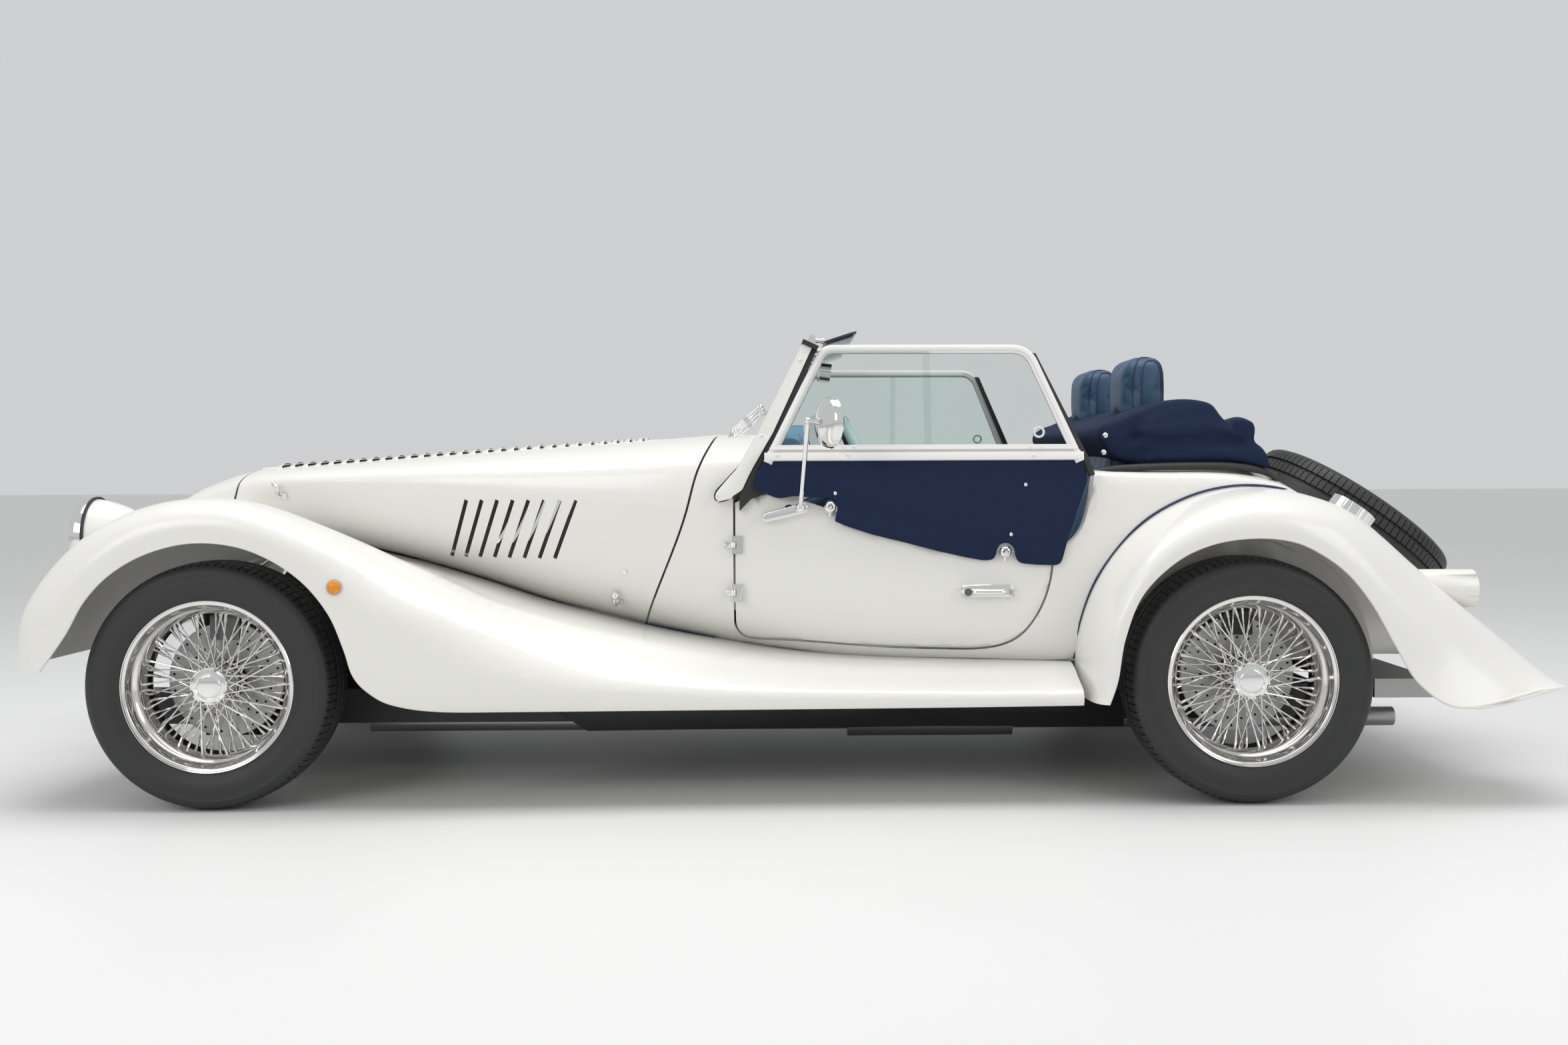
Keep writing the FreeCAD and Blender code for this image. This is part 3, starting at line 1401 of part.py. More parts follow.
def hinge_moving(side, z):
    # Two bored barrels and the leaf on the door
    x = wide_x(door_shares[0][0])
    near = x + hinge_barrel_radius + pin_clearance
    outer = hinge_plane + hinge_wall / 2
    plate_low = z - hinge_height / 2
    leaf = sorted_box(near, x + hinge_leaf, side * hinge_root(), side * outer, plate_low,
                      z + hinge_height / 2)
    parts = []
    for level in (-1, 1):
        low, top = sorted((z + level * (hinge_height / 6 + pin_clearance / 2),
                           z + level * hinge_height / 2))
        parts.append(hinge_barrel(side, low, top, hinge_barrel_radius))
        parts.append(sorted_box(x, near, side * (outer - hinge_wall), side * outer, low, top))
    bore = hinge_barrel(side, z - hinge_height, z + hinge_height, hinge_pin_radius + seat_gap)
    return leaf.fuse(parts).cut(bore)


def between_width(place):
    return between(place, 5) * body_half_width


def mirror(side):
    # Post on the door, bent arm and round head
    place, height = mirror_post_shares
    post_low = V(wide_x(place), side * (between_width(place) - body_wall / 2), high(height))
    post = V(post_low.x, side * (screen_plane + mirror_arm_radius * 2), post_low.z)
    elbow = mirror_point(mirror_elbow_shares, side)
    head = mirror_point(mirror_head_shares, side)
    arm = rod(post_low, post, mirror_arm_radius * 1.6)
    arm = arm.fuse(Part.makeSphere(mirror_arm_radius * 1.6, post))
    arm = arm.fuse(rod(post, elbow, mirror_arm_radius))
    arm = arm.fuse(Part.makeSphere(mirror_arm_radius, elbow))
    arm = arm.fuse(rod(elbow, head, mirror_arm_radius * 0.8))
    bowl = dome(V(0, 0, 0), V(-1, 0, 0), mirror_radius, mirror_depth)
    bowl.translate(head + V(mirror_depth / 2, 0, 0))
    return arm.fuse(bowl)


def mirror_point(shares, side):
    return V(wide_x(shares[0]), side * wing_y(shares[1]), high(shares[2]))


def lamp_profile():
    back = -lamp_radius * 1.9
    points = [V(back, 0, 0), V(back * 0.82, 0, lamp_radius * 0.42),
              V(back * 0.5, 0, lamp_radius * 0.78), V(-lamp_bezel, 0, lamp_radius * 0.97),
              V(-lamp_bezel, 0, lamp_radius), V(0, 0, lamp_radius), V(0, 0, 0)]
    edges = [smooth_edge(points[:4])]
    for one, other in zip(points[3:], points[4:] + points[:1]):
        edges.append(Part.LineSegment(one, other).toShape())
    return Part.Face(Part.Wire(edges))


def lamp_centre(side):
    return V(wide_x(lamp_shares[0]), side * lamp_offset, high(lamp_shares[1]))


def head_lamps(wing_left):
    # Bullet-shaped pods on stems that stand on the wings
    pods = []
    centre = lamp_centre(-1)
    pod = lamp_profile().revolve(V(0, 0, 0), V(1, 0, 0), 360)
    pod.rotate(V(0, 0, 0), V(0, 0, 1), 180)
    pod.translate(centre)
    stem_x = centre.x + lamp_radius
    stem = Part.makeCone(lamp_radius * 0.55, lamp_radius * 0.35, lamp_radius * 2.6,
                         V(stem_x, centre.y, centre.z - lamp_radius * 2.6), V(0, 0, 1))
    pod = largest(pod.fuse(stem).cut(wing_left))
    return Part.makeCompound([pod, mirrored(pod)])


def tail_lamps(wing_left):
    face = V(rear_x(tail_lamp_shares[0]), -tail_lamp_offset, high(tail_lamp_shares[1]))
    pod = rod(face - V(tail_lamp_radius * 3, 0, 0), face, tail_lamp_radius)
    pod = largest(pod.cut(wing_left))
    return Part.makeCompound([pod, mirrored(pod)])


def lamp_lenses():
    # Domed glasses of the head lamps and tail lamps
    lenses = []
    depth = lamp_bezel * 0.8
    for side in (-1, 1):
        centre = lamp_centre(side)
        lenses.append(dome(V(centre.x - seat_gap, centre.y, centre.z), V(-1, 0, 0),
                           lamp_radius * 0.92, depth))
        tail = V(rear_x(tail_lamp_shares[0]) + seat_gap, side * tail_lamp_offset,
                 high(tail_lamp_shares[1]))
        lenses.append(dome(tail, V(1, 0, 0), tail_lamp_radius * 0.94, depth * 0.6))
    return Part.makeCompound(lenses)


def dome(base, direction, radius, depth):
    # Shallow glass that rises by its depth over its base
    ball_radius = (radius * radius + depth * depth) / (2 * depth)
    half_turn = math.asin(radius / ball_radius) / 2
    middle = V(math.cos(half_turn) * ball_radius - ball_radius + depth, 0,
               math.sin(half_turn) * ball_radius)
    arc = Part.Arc(V(0, 0, radius), middle, V(depth, 0, 0)).toShape()
    edges = [arc, Part.LineSegment(V(depth, 0, 0), V(0, 0, 0)).toShape(),
             Part.LineSegment(V(0, 0, 0), V(0, 0, radius)).toShape()]
    glass = Part.Face(Part.Wire(edges)).revolve(V(0, 0, 0), V(1, 0, 0), 360)
    if direction.x < 0:
        glass.rotate(V(0, 0, 0), V(0, 0, 1), 180)
    glass.translate(base)
    return glass


def spare_parts():
    # The spare wheel lies in its well in the sloping tail
    centre, normal = spare_frame()
    cover = tyre()
    wheel = rim().fuse(hub_plain())
    shapes = []
    for shape in (cover, wheel):
        shape = shape.copy()
        shape.rotate(V(0, 0, 0), V(1, 0, 0), -90)
        shape.rotate(V(0, 0, 0), V(0, 1, 0), spare_lean)
        shape.translate(centre)
        shapes.append(shape)
    return shapes


def hub_plain():
    barrel = Part.makeCylinder(hub_radius, hub_length, V(0, -hub_length / 2, 0), V(0, 1, 0))
    web = Part.makeCylinder(rim_radius * rim_well_share - rim_wall / 2, floor_wall / 2,
                            V(0, -floor_wall / 4, 0), V(0, 1, 0))
    return barrel.fuse(web)


def fuel_cap():
    # Flip cap on the tail's left slope
    base = V(wide_x(cap_shares[0]), -tail_cap_offset, high(cap_shares[1]))
    normal = V(math.sin(math.radians(spare_lean)), 0, math.cos(math.radians(spare_lean)))
    cap = Part.makeCylinder(cap_radius, cap_height * 4, base - normal * cap_height * 3, normal)
    return largest(cap.cut(tub_volume(seat_gap)))


def exhaust():
    # Pipe, silencer and tail pipe along the left rail
    y = -(rail_half_gap - rail_width * 2.2)
    z = rail_bottom - arm_radius * 2 - seat_gap
    start = V(wide_x(exhaust_shares[0]), y, z)
    end = V(rear_x(exhaust_shares[1]), y, z)
    pipe = rod(start, end, arm_radius * 2)
    drop = arm_radius / 2
    front, rear = [wide_x(share) for share in silencer_shares]
    silencer = rod(V(front, y, z - drop), V(rear, y, z - drop), arm_radius * 3)
    return pipe.fuse(silencer)


def tail_valance():
    # Pressed channel below the tail, bolted to the ends of the chassis rails
    rear, low_share, top_share = valance_shares
    low = high(low_share)
    top = high(top_share)
    x0 = rear_axle_x + rear_rail_reach() + seat_gap
    x1 = rear_x(rear)
    half = body_half_width * valance_half_share
    sheet = box(x0, x1, -half, half, low, top)
    hollow = box(x0 + floor_wall / 2, x1 + overrun, -half + floor_wall / 2,
                 half - floor_wall / 2, low - overrun, top - floor_wall / 2)
    return sheet.cut(hollow)


def export(shapes):
    os.makedirs("parts", exist_ok=True)
    for name, shape in shapes.items():
        shape.exportStep("parts/" + name + ".step")
        print(name, len(shape.Solids), shape.isValid(), round(shape.Volume / 1e6, 2))


def main():
    shapes = {}
    shell = thick_shell()
    shapes["chassis"] = chassis()
    shapes["floor_pan"] = floor_pan()
    shapes["engine_block"] = Part.makeCompound([engine_block(), radiator()])
    shapes["front_suspension"] = front_suspension()
    shapes["rear_axle"] = rear_axle()
    shapes["exhaust"] = Part.makeCompound([exhaust(), tail_valance()])
    shapes["cowl"] = cowl().fuse(hinge_rod())
    left = bonnet_left()
    shapes["bonnet_left"] = left
    shapes["bonnet_right"] = mirrored(left)
    scuttle, rear = scuttle_and_rear(body_tub(shell))
    hinges = [hinge_fixed(side, high(share)) for side in (-1, 1) for share in door_hinge_shares]
    shapes["scuttle"] = scuttle.fuse(hinges)
    shapes["body_rear"] = rear
    shapes["dashboard"] = dashboard()
    shapes["steering_wheel"] = steering_wheel()
    wing = front_wing()
    shapes["grille"] = largest(grille().cut(wing).cut(mirrored(wing)))
    shapes["front_wing_left"] = wing
    shapes["front_wing_right"] = mirrored(wing)
    shapes["head_lamps"] = head_lamps(wing)
    wing = rear_wing()
    shapes["fuel_cap"] = largest(fuel_cap().cut(wing))
    shapes["rear_wing_left"] = wing
    shapes["rear_wing_right"] = mirrored(wing)
    shapes["tail_lamps"] = tail_lamps(wing)
    shapes["lamp_lenses"] = lamp_lenses()
    frame = windscreen_frame()
    shapes["windscreen_frame"] = frame
    shapes["windscreen_glass"] = largest(windscreen_glass().cut(frame))
    shapes["hood_folded"] = hood()
    spare_tyre, spare_rim = spare_parts()
    shapes["spare_tyre"] = spare_tyre
    shapes["spare_wheel"] = spare_rim
    wheel = spoked_wheel()
    cover = tyre()
    upright = knuckle(-1)
    for word, side in (("left", -1), ("right", 1)):
        shapes["seat_" + word] = seat(side)
        shapes["door_" + word] = door(side, shell).fuse(mirror(side))
        shapes["side_screen_" + word] = side_screen(side)
        shapes["side_glass_" + word] = side_glass(side)
        shapes["knuckle_" + word] = upright if side < 0 else mirrored(upright)
        for end, axle_x in (("front", front_axle_x), ("rear", rear_axle_x)):
            name = end + "_" + word
            shapes["wheel_" + name] = placed(wheel, axle_x, side)
            shapes["tyre_" + name] = placed(cover, axle_x, side)
    export(shapes)


main()
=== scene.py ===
import bpy
import bmesh
import math
from mathutils import Matrix, Vector, noise
from mathutils.bvhtree import BVHTree


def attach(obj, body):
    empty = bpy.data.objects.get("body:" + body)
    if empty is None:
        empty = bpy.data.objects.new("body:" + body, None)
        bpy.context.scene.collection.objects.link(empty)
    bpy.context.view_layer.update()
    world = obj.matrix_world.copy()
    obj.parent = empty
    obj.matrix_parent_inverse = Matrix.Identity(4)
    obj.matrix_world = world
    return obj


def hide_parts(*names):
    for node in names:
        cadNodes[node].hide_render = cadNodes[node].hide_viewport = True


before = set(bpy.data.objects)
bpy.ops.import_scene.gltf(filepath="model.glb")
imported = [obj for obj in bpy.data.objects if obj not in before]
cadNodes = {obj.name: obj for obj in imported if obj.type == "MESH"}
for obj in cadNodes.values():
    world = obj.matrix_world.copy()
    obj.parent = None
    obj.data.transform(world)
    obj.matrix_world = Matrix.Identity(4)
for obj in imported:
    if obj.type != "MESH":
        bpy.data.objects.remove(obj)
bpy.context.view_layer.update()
scene = bpy.context.scene

# Where things are on this car, in metres: +X to the tail, -Y to the left side
car = {
    "frontAxleX": -1.3955,
    "rearAxleX": 1.1245,
    "axleHeight": 0.300,
    "trackHalf": 0.684,
    "tyreRadius": 0.300,
    "seatOffset": 0.290,
    "screenPlane": 0.623,
    "screenFoot": 0.838,
    "screenLean": math.radians(12.4),
}
sides = ((-1, "left"), (1, "right"))


# helpers: surfaces of the car's own panels

panelTrees = {}


def panelTree(node):
    if node not in panelTrees:
        mesh = cadNodes[node].data
        corners = [v.co.copy() for v in mesh.vertices]
        faces = [tuple(p.vertices) for p in mesh.polygons]
        panelTrees[node] = BVHTree.FromPolygons(corners, faces)
    return panelTrees[node]


def meets(nodes, start, direction):
    # nearest place and outward normal where a line meets these panels
    best = None
    for node in nodes:
        place, normal, index, distance = panelTree(node).ray_cast(Vector(start), Vector(direction))
        if place is not None and (best is None or distance < best[2]):
            best = (place, normal, distance)
    if best is None:
        return None
    place, normal = best[0], best[1]
    if normal.dot(Vector(direction)) > 0:
        normal = -normal
    return place, normal


def onSide(nodes, x, z, side):
    return meets(nodes, (x, side * 1.2, z), (0, -side, 0))


def onTop(nodes, x, y):
    return meets(nodes, (x, y, 1.5), (0, 0, -1))


# helpers: meshes

def asPiece(name, bm, materials, body, sharpAngle=35, weld=True, outward=False):
    if outward:
        bmesh.ops.recalc_face_normals(bm, faces=bm.faces)
    if weld:
        bmesh.ops.remove_doubles(bm, verts=bm.verts, dist=0.00002)
    mesh = bpy.data.meshes.new(name)
    bm.to_mesh(mesh)
    bm.free()
    for material in materials:
        mesh.materials.append(material)
    mesh.shade_smooth()
    mesh.set_sharp_from_angle(angle=math.radians(sharpAngle))
    piece = bpy.data.objects.new(name, mesh)
    scene.collection.objects.link(piece)
    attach(piece, body)
    return piece


def dressed(node, materials, body, sharpAngle=40, marks=None, drop=None):
    # welded copy of a panel, so that its shading runs smoothly; marks(centre) gives a
    # face its material and drop(centre) says which faces another piece stands for
    bm = bmesh.new()
    bm.from_mesh(cadNodes[node].data)
    bmesh.ops.remove_doubles(bm, verts=bm.verts, dist=0.0001)
    bmesh.ops.dissolve_degenerate(bm, edges=bm.edges, dist=0.00005)
    if drop:
        bmesh.ops.delete(bm, geom=[f for f in bm.faces if drop(f.calc_center_median())],
                         context="FACES")
    if marks:
        for face in bm.faces:
            face.material_index = marks(face.calc_center_median())
    piece = asPiece(node + "_skin", bm, materials, body, sharpAngle, weld=False)
    even = piece.modifiers.new("evenShading", "WEIGHTED_NORMAL")
    even.keep_sharp = True
    even.weight = 80
    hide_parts(node)
    return piece


def axesAt(place, x, y, z):
    # matrix with these three axes at a place
    matrix = Matrix((x, y, z)).transposed().to_4x4()
    matrix.translation = place
    return matrix


def framed(place, zDirection, xHint=(1, 0, 0)):
    # matrix whose Z follows the direction and whose X leans to the hint
    z = Vector(zDirection).normalized()
    x = Vector(xHint) - z * Vector(xHint).dot(z)
    if x.length < 1e-6:
        x = z.orthogonal()
    x.normalize()
    return axesAt(Vector(place), x, z.cross(x), z)


def vertsIn(geom):
    return [g for g in geom if isinstance(g, bmesh.types.BMVert)]


def ringOf(bm, points):
    # closed loop of new points, with its edges
    ring = [bm.verts.new(p) for p in points]
    return ring, [bm.edges.new(pair) for pair in zip(ring, ring[1:] + ring[:1])]


def paintFaces(verts):
    # gives the faces at these points the piece's second material
    for face in {f for v in verts for f in v.link_faces}:
        face.material_index = 1


def stamped(bm, mesh, matrix, materialIndex=None):
    # adds a copy of a small mesh at a place
    placed = mesh.copy()
    placed.transform(matrix)
    if materialIndex is not None:
        for face in placed.polygons:
            face.material_index = materialIndex
    bm.from_mesh(placed)
    bpy.data.meshes.remove(placed)


def small(build):
    # a little mesh to stamp, kept only while the script runs
    bm = bmesh.new()
    build(bm)
    mesh = bpy.data.meshes.new("stamp")
    bm.to_mesh(mesh)
    bm.free()
    return mesh


def turned(bm, profile, steps, closed=False):
    # profile of (along the axis, radius) pairs, spun about the Y axis
    verts = [bm.verts.new((0, a, r)) for a, r in profile]
    edges = [bm.edges.new(pair) for pair in zip(verts, verts[1:])]
    if closed:
        edges.append(bm.edges.new((verts[-1], verts[0])))
    bmesh.ops.spin(bm, geom=verts + edges, cent=(0, 0, 0), axis=(0, 1, 0), angle=math.tau,
                   steps=steps, use_merge=True, use_duplicate=False)


def bevelled(bm, edges, radius, segments, clamped=False):
    bmesh.ops.bevel(bm, geom=edges, offset=radius, affect="EDGES", segments=segments,
                    profile=0.5, material=-1, clamp_overlap=clamped)


def swept(bm, edges, places, closed=False, widths=None):
    # extrudes a closed outline from place to place, growing with the widths
    if not closed:
        bmesh.ops.edgeloop_fill(bm, edges=edges)
    before = places[0]
    widths = list(widths or [1.0] * len(places))
    order = list(range(1, len(places))) + ([0] if closed else [])
    last = 0
    for k in order:
        place = places[k]
        growth = widths[k] / widths[last]
        made = bmesh.ops.extrude_edge_only(bm, edges=edges)["geom"]
        ring = vertsIn(made)
        held = set(ring)
        edges = [g for g in made if isinstance(g, bmesh.types.BMEdge) and held.issuperset(g.verts)]
        grow = Matrix.Diagonal((growth, growth, 1, 1))
        bmesh.ops.transform(bm, matrix=place @ grow @ before.inverted(), verts=ring)
        before = place
        last = k
    if not closed:
        bmesh.ops.edgeloop_fill(bm, edges=edges)
    else:
        bmesh.ops.remove_doubles(bm, verts=bm.verts, dist=0.00001)
    bmesh.ops.recalc_face_normals(bm, faces=bm.faces)


def alongAt(points, k, closed):
    # the path's direction at one of its points
    count = len(points)
    before = points[(k - 1) % count] if closed or k else points[k]
    after = points[(k + 1) % count] if closed or k < count - 1 else points[k]
    return (after - before).normalized()


def tubeAlong(bm, points, radius, sides=10, closed=False, flat=1.0):
    # round tube through points
    points = [Vector(p) for p in points]
    places = []
    widths = list(radius) if hasattr(radius, "__len__") else [radius] * len(points)
    normal = None
    for k, point in enumerate(points):
        along = alongAt(points, k, closed)
        if normal is None:
            normal = along.orthogonal().normalized()
        normal = (normal - along * normal.dot(along)).normalized()
        places.append(axesAt(point, normal, along.cross(normal), along))
    ring = bmesh.ops.create_circle(bm, cap_ends=False, segments=sides, radius=widths[0],
                                   matrix=places[0] @ Matrix.Diagonal((1, flat, 1, 1)))["verts"]
    swept(bm, list({e for v in ring for e in v.link_edges}), places, closed, widths)


def drawn(bm, section, places):
    # closed (u, v) section swept from place to place
    swept(bm, ringOf(bm, [places[0] @ Vector((u, v, 0)) for u, v in section])[1], places)


def railAlong(bm, section, path, side):
    # section of (outward, proud) pairs swept along a path in an upright plane
    places = []
    for k, point in enumerate(path):
        along = alongAt(path, k, False)
        places.append(axesAt(point, Vector((-along.z, 0, along.x)), Vector((0, side, 0)), along))
    drawn(bm, section, places)


def inset(points, distance, closed=True):
    # (x, z) outline, clockwise, with each side moved inwards
    moved = []
    count = len(points)
    for k in range(count if closed else count - 1):
        (x0, z0), (x1, z1) = points[k], points[(k + 1) % count]
        length = math.hypot(x1 - x0, z1 - z0)
        across = ((z1 - z0) / length * distance, -(x1 - x0) / length * distance)
        moved.append(((x0 + across[0], z0 + across[1]), (x1 + across[0], z1 + across[1])))
    result = [] if closed else [moved[0][0]]
    pairs = zip(moved[-1:] + moved[:-1], moved) if closed else zip(moved, moved[1:])
    for (a, b), (c, d) in pairs:
        one = (b[0] - a[0], b[1] - a[1])
        two = (d[0] - c[0], d[1] - c[1])
        share = (((c[0] - a[0]) * two[1] - (c[1] - a[1]) * two[0])
                 / (one[0] * two[1] - one[1] * two[0]))
        result.append((a[0] + one[0] * share, a[1] + one[1] * share))
    if not closed:
        result.append(moved[-1][1])
    return result


def cornerArc(before, corner, after, radius, steps):
    # the arc that stands for a corner, kept within its two sides
    start, end = [corner + (p - corner).normalized() * min(radius, (p - corner).length * 0.45)
                  for p in (before, after)]
    return [start * (1 - t) ** 2 + corner * 2 * t * (1 - t) + end * t * t
            for t in [n / steps for n in range(steps + 1)]]


def roundCorners(points, radii, steps=8):
    # open path whose inner corners become arcs
    points = [Vector(p) for p in points]
    path = [points[0]]
    for before, corner, after, radius in zip(points, points[1:], points[2:], radii):
        path += cornerArc(before, corner, after, radius, steps)
    return path + [points[-1]]


def softened(points, radius, steps=4):
    # closed (x, z) outline whose corners become short arcs
    points = [Vector((x, 0, z)) for x, z in points]
    return [(p.x, p.z) for before, corner, after in zip(points[-1:] + points, points,
                                                        points[1:] + points[:1])
            for p in cornerArc(before, corner, after, radius, steps)]


def plateOf(bm, outline, y0, y1, bevel=0.0, segments=2):
    # flat plate from an (x, z) outline between two upright planes
    ring, edges = ringOf(bm, [(x, y0, z) for x, z in outline])
    face = bmesh.ops.edgeloop_fill(bm, edges=edges)["faces"]
    far = vertsIn(bmesh.ops.extrude_face_region(bm, geom=face, use_keep_orig=True)["geom"])
    bmesh.ops.translate(bm, vec=(0, y1 - y0, 0), verts=far)
    mine = set(ring + far)
    faces = [f for f in bm.faces if mine.issuperset(f.verts)]
    bmesh.ops.recalc_face_normals(bm, faces=faces)
    if bevel:
        rims = [e for e in bm.edges if mine.issuperset(e.verts) and len(e.link_faces) == 2
                and any(len(f.verts) > 4 for f in e.link_faces)]
        bevelled(bm, rims, bevel, segments, clamped=True)


def smoothPath(points, steps=6, closed=False):
    # even curve through a few points
    points = [Vector(p) for p in points]
    count = len(points)
    path = []
    for k in range(count if closed else count - 1):
        a = points[(k - 1) % count] if closed or k else points[0]
        b = points[k]
        c = points[(k + 1) % count]
        d = points[(k + 2) % count] if closed or k < count - 2 else points[-1]
        for s in range(steps):
            t = s / steps
            path.append(0.5 * ((2 * b) + (c - a) * t + (2 * a - 5 * b + 4 * c - d) * t * t
                               + (3 * b - a - 3 * c + d) * t ** 3))
    if not closed:
        path.append(points[-1])
    return path


def addBox(bm, low, high, matrix=Matrix()):
    low, high = Vector(low), Vector(high)
    place = matrix @ Matrix.Translation((low + high) / 2)
    size = Matrix.Diagonal((high - low).to_4d())
    size[3][3] = 1
    return bmesh.ops.create_cube(bm, size=1, matrix=place @ size)["verts"]


def addBall(bm, radius, place, around=16, rows=10):
    return bmesh.ops.create_uvsphere(bm, u_segments=around, v_segments=rows, radius=radius,
                                     matrix=place)["verts"]


def addRod(bm, start, end, radius, sides=12, endRadius=None):
    start, end = Vector(start), Vector(end)
    middle = framed((start + end) / 2, end - start)
    return bmesh.ops.create_cone(bm, cap_ends=True, cap_tris=False, segments=sides,
                                 radius1=radius, radius2=radius if endRadius is None else endRadius,
                                 depth=(end - start).length, matrix=middle)["verts"]


# finishes

def group(name, inputs, outputs):
    # node group with these sockets: the tree, what it is given and what it makes
    tree = bpy.data.node_groups.new(name, "ShaderNodeTree")
    for label, kind, value in inputs:
        socket = tree.interface.new_socket(name=label, in_out="INPUT", socket_type=kind)
        socket.default_value = value
    for label, kind in outputs:
        tree.interface.new_socket(name=label, in_out="OUTPUT", socket_type=kind)
    given = tree.nodes.new("NodeGroupInput")
    made = tree.nodes.new("NodeGroupOutput")
    return tree, given.outputs, made.inputs


def calculated(tree, operation, *values):
    # a math node fed by sockets or by fixed numbers
    node = tree.nodes.new("ShaderNodeMath")
    node.operation = operation
    for slot, value in zip(node.inputs, values):
        if isinstance(value, bpy.types.NodeSocket):
            tree.links.new(value, slot)
        else:
            slot.default_value = value
    return node.outputs[0]


def overObject(tree, kind, scale):
    # a texture laid out in the piece's own metres
    place = tree.nodes.new("ShaderNodeTexCoord")
    texture = tree.nodes.new(kind)
    tree.links.new(place.outputs["Object"], texture.inputs["Vector"])
    tree.links.new(scale, texture.inputs["Scale"])
    return texture


def driftGroup():
    # slow change of tone and of gloss over a surface
    tree, given, made = group("surfaceDrift", [
        ("Color", "NodeSocketColor", (1, 1, 1, 1)), ("Scale", "NodeSocketFloat", 6.0),
        ("Tone", "NodeSocketFloat", 0.05), ("Gloss", "NodeSocketFloat", 0.3),
        ("Spread", "NodeSocketFloat", 0.05)],
        [("Color", "NodeSocketColor"), ("Roughness", "NodeSocketFloat")])
    cloud = overObject(tree, "ShaderNodeTexNoise", given["Scale"])
    cloud.inputs["Detail"].default_value = 4
    centred = calculated(tree, "SUBTRACT", cloud.outputs["Fac"], 0.5)
    value = calculated(tree, "MULTIPLY_ADD", centred, given["Tone"], 1.0)
    roughness = calculated(tree, "MULTIPLY_ADD", centred, given["Spread"], given["Gloss"])
    toned = tree.nodes.new("ShaderNodeHueSaturation")
    tree.links.new(given["Color"], toned.inputs["Color"])
    tree.links.new(value, toned.inputs["Value"])
    tree.links.new(toned.outputs["Color"], made["Color"])
    tree.links.new(roughness, made["Roughness"])
    return tree


def grainGroup():
    # fine relief such as leather pores or rubber skin
    tree, given, made = group("fineGrain", [("Scale", "NodeSocketFloat", 400.0)],
                              [("Height", "NodeSocketFloat")])
    pores = overObject(tree, "ShaderNodeTexVoronoi", given["Scale"])
    tree.links.new(pores.outputs["Distance"], made["Height"])
    return tree


def weaveGroup():
    # crossed threads of the hood cloth
    tree, given, made = group("clothWeave", [("Scale", "NodeSocketFloat", 900.0)],
                              [("Height", "NodeSocketFloat")])
    place = tree.nodes.new("ShaderNodeTexCoord")
    split = tree.nodes.new("ShaderNodeSeparateXYZ")
    tree.links.new(place.outputs["Object"], split.inputs[0])
    slanted = calculated(tree, "ADD", split.outputs["Z"], split.outputs["Y"])
    waves = [calculated(tree, "SINE", calculated(tree, "MULTIPLY", source, given["Scale"]))
             for source in (split.outputs["X"], slanted)]
    tree.links.new(calculated(tree, "MULTIPLY", *waves), made["Height"])
    return tree


reliefs = {"grain": grainGroup(), "weave": weaveGroup()}
drift = driftGroup()


def setInputs(node, values):
    for label, value in values.items():
        node.inputs[label].default_value = value


def finish(name, color, gloss=0.4, spread=0.08, tone=0.05, scale=6.0, metal=0.0, coat=0.0,
           coatGloss=0.05, bump=None, level=0.5):
    material = bpy.data.materials.new(name)
    material.use_nodes = True
    nodes = material.node_tree.nodes
    links = material.node_tree.links
    shader = nodes["Principled BSDF"]
    setInputs(shader, {"Metallic": metal, "Coat Weight": coat, "Coat Roughness": coatGloss,
                       "Specular IOR Level": level})
    change = nodes.new("ShaderNodeGroup")
    change.node_tree = drift
    setInputs(change, {"Color": (*color, 1), "Scale": scale, "Tone": tone, "Gloss": gloss,
                       "Spread": spread})
    links.new(change.outputs["Color"], shader.inputs["Base Color"])
    links.new(change.outputs["Roughness"], shader.inputs["Roughness"])
    if bump:
        kind, size, depth = bump
        relief = nodes.new("ShaderNodeGroup")
        relief.node_tree = reliefs[kind]
        push = nodes.new("ShaderNodeBump")
        setInputs(relief, {"Scale": size})
        setInputs(push, {"Distance": depth, "Strength": 0.6})
        links.new(relief.outputs["Height"], push.inputs["Height"])
        links.new(push.outputs["Normal"], shader.inputs["Normal"])
    return material


def glass(name, color, gloss, through, ior=1.45):
    material = finish(name, color, gloss=gloss, spread=0.01, tone=0.02)
    setInputs(material.node_tree.nodes["Principled BSDF"],
              {"Transmission Weight": through, "IOR": ior})
    return material


creamPaint = finish("creamPaint", (0.79, 0.78, 0.74), gloss=0.34, spread=0.05, tone=0.02, scale=3,
                    coat=0.55, coatGloss=0.14)
pearlTrim = finish("pearlTrim", (0.82, 0.81, 0.77), gloss=0.28, spread=0.05, tone=0.02, coat=0.6,
                   coatGloss=0.08)
whiteFrame = finish("whiteFrame", (0.80, 0.79, 0.77), gloss=0.30, tone=0.02, coat=0.4)
chrome = finish("chrome", (0.80, 0.80, 0.79), gloss=0.07, spread=0.05, tone=0.03, scale=12,
                metal=1.0)
wireChrome = finish("wireChrome", (0.78, 0.77, 0.75), gloss=0.12, spread=0.08, tone=0.05,
                    metal=1.0)
brushedSteel = finish("brushedSteel", (0.42, 0.42, 0.41), gloss=0.38, spread=0.12, metal=1.0)
castGrey = finish("castGrey", (0.20, 0.20, 0.20), gloss=0.5, spread=0.15, metal=0.6)
blackSteel = finish("blackSteel", (0.018, 0.018, 0.019), gloss=0.42, spread=0.2, tone=0.3, scale=9)
blackRubber = finish("blackRubber", (0.016, 0.016, 0.017), gloss=0.55, spread=0.12, tone=0.2,
                     bump=("grain", 900, 0.0002))
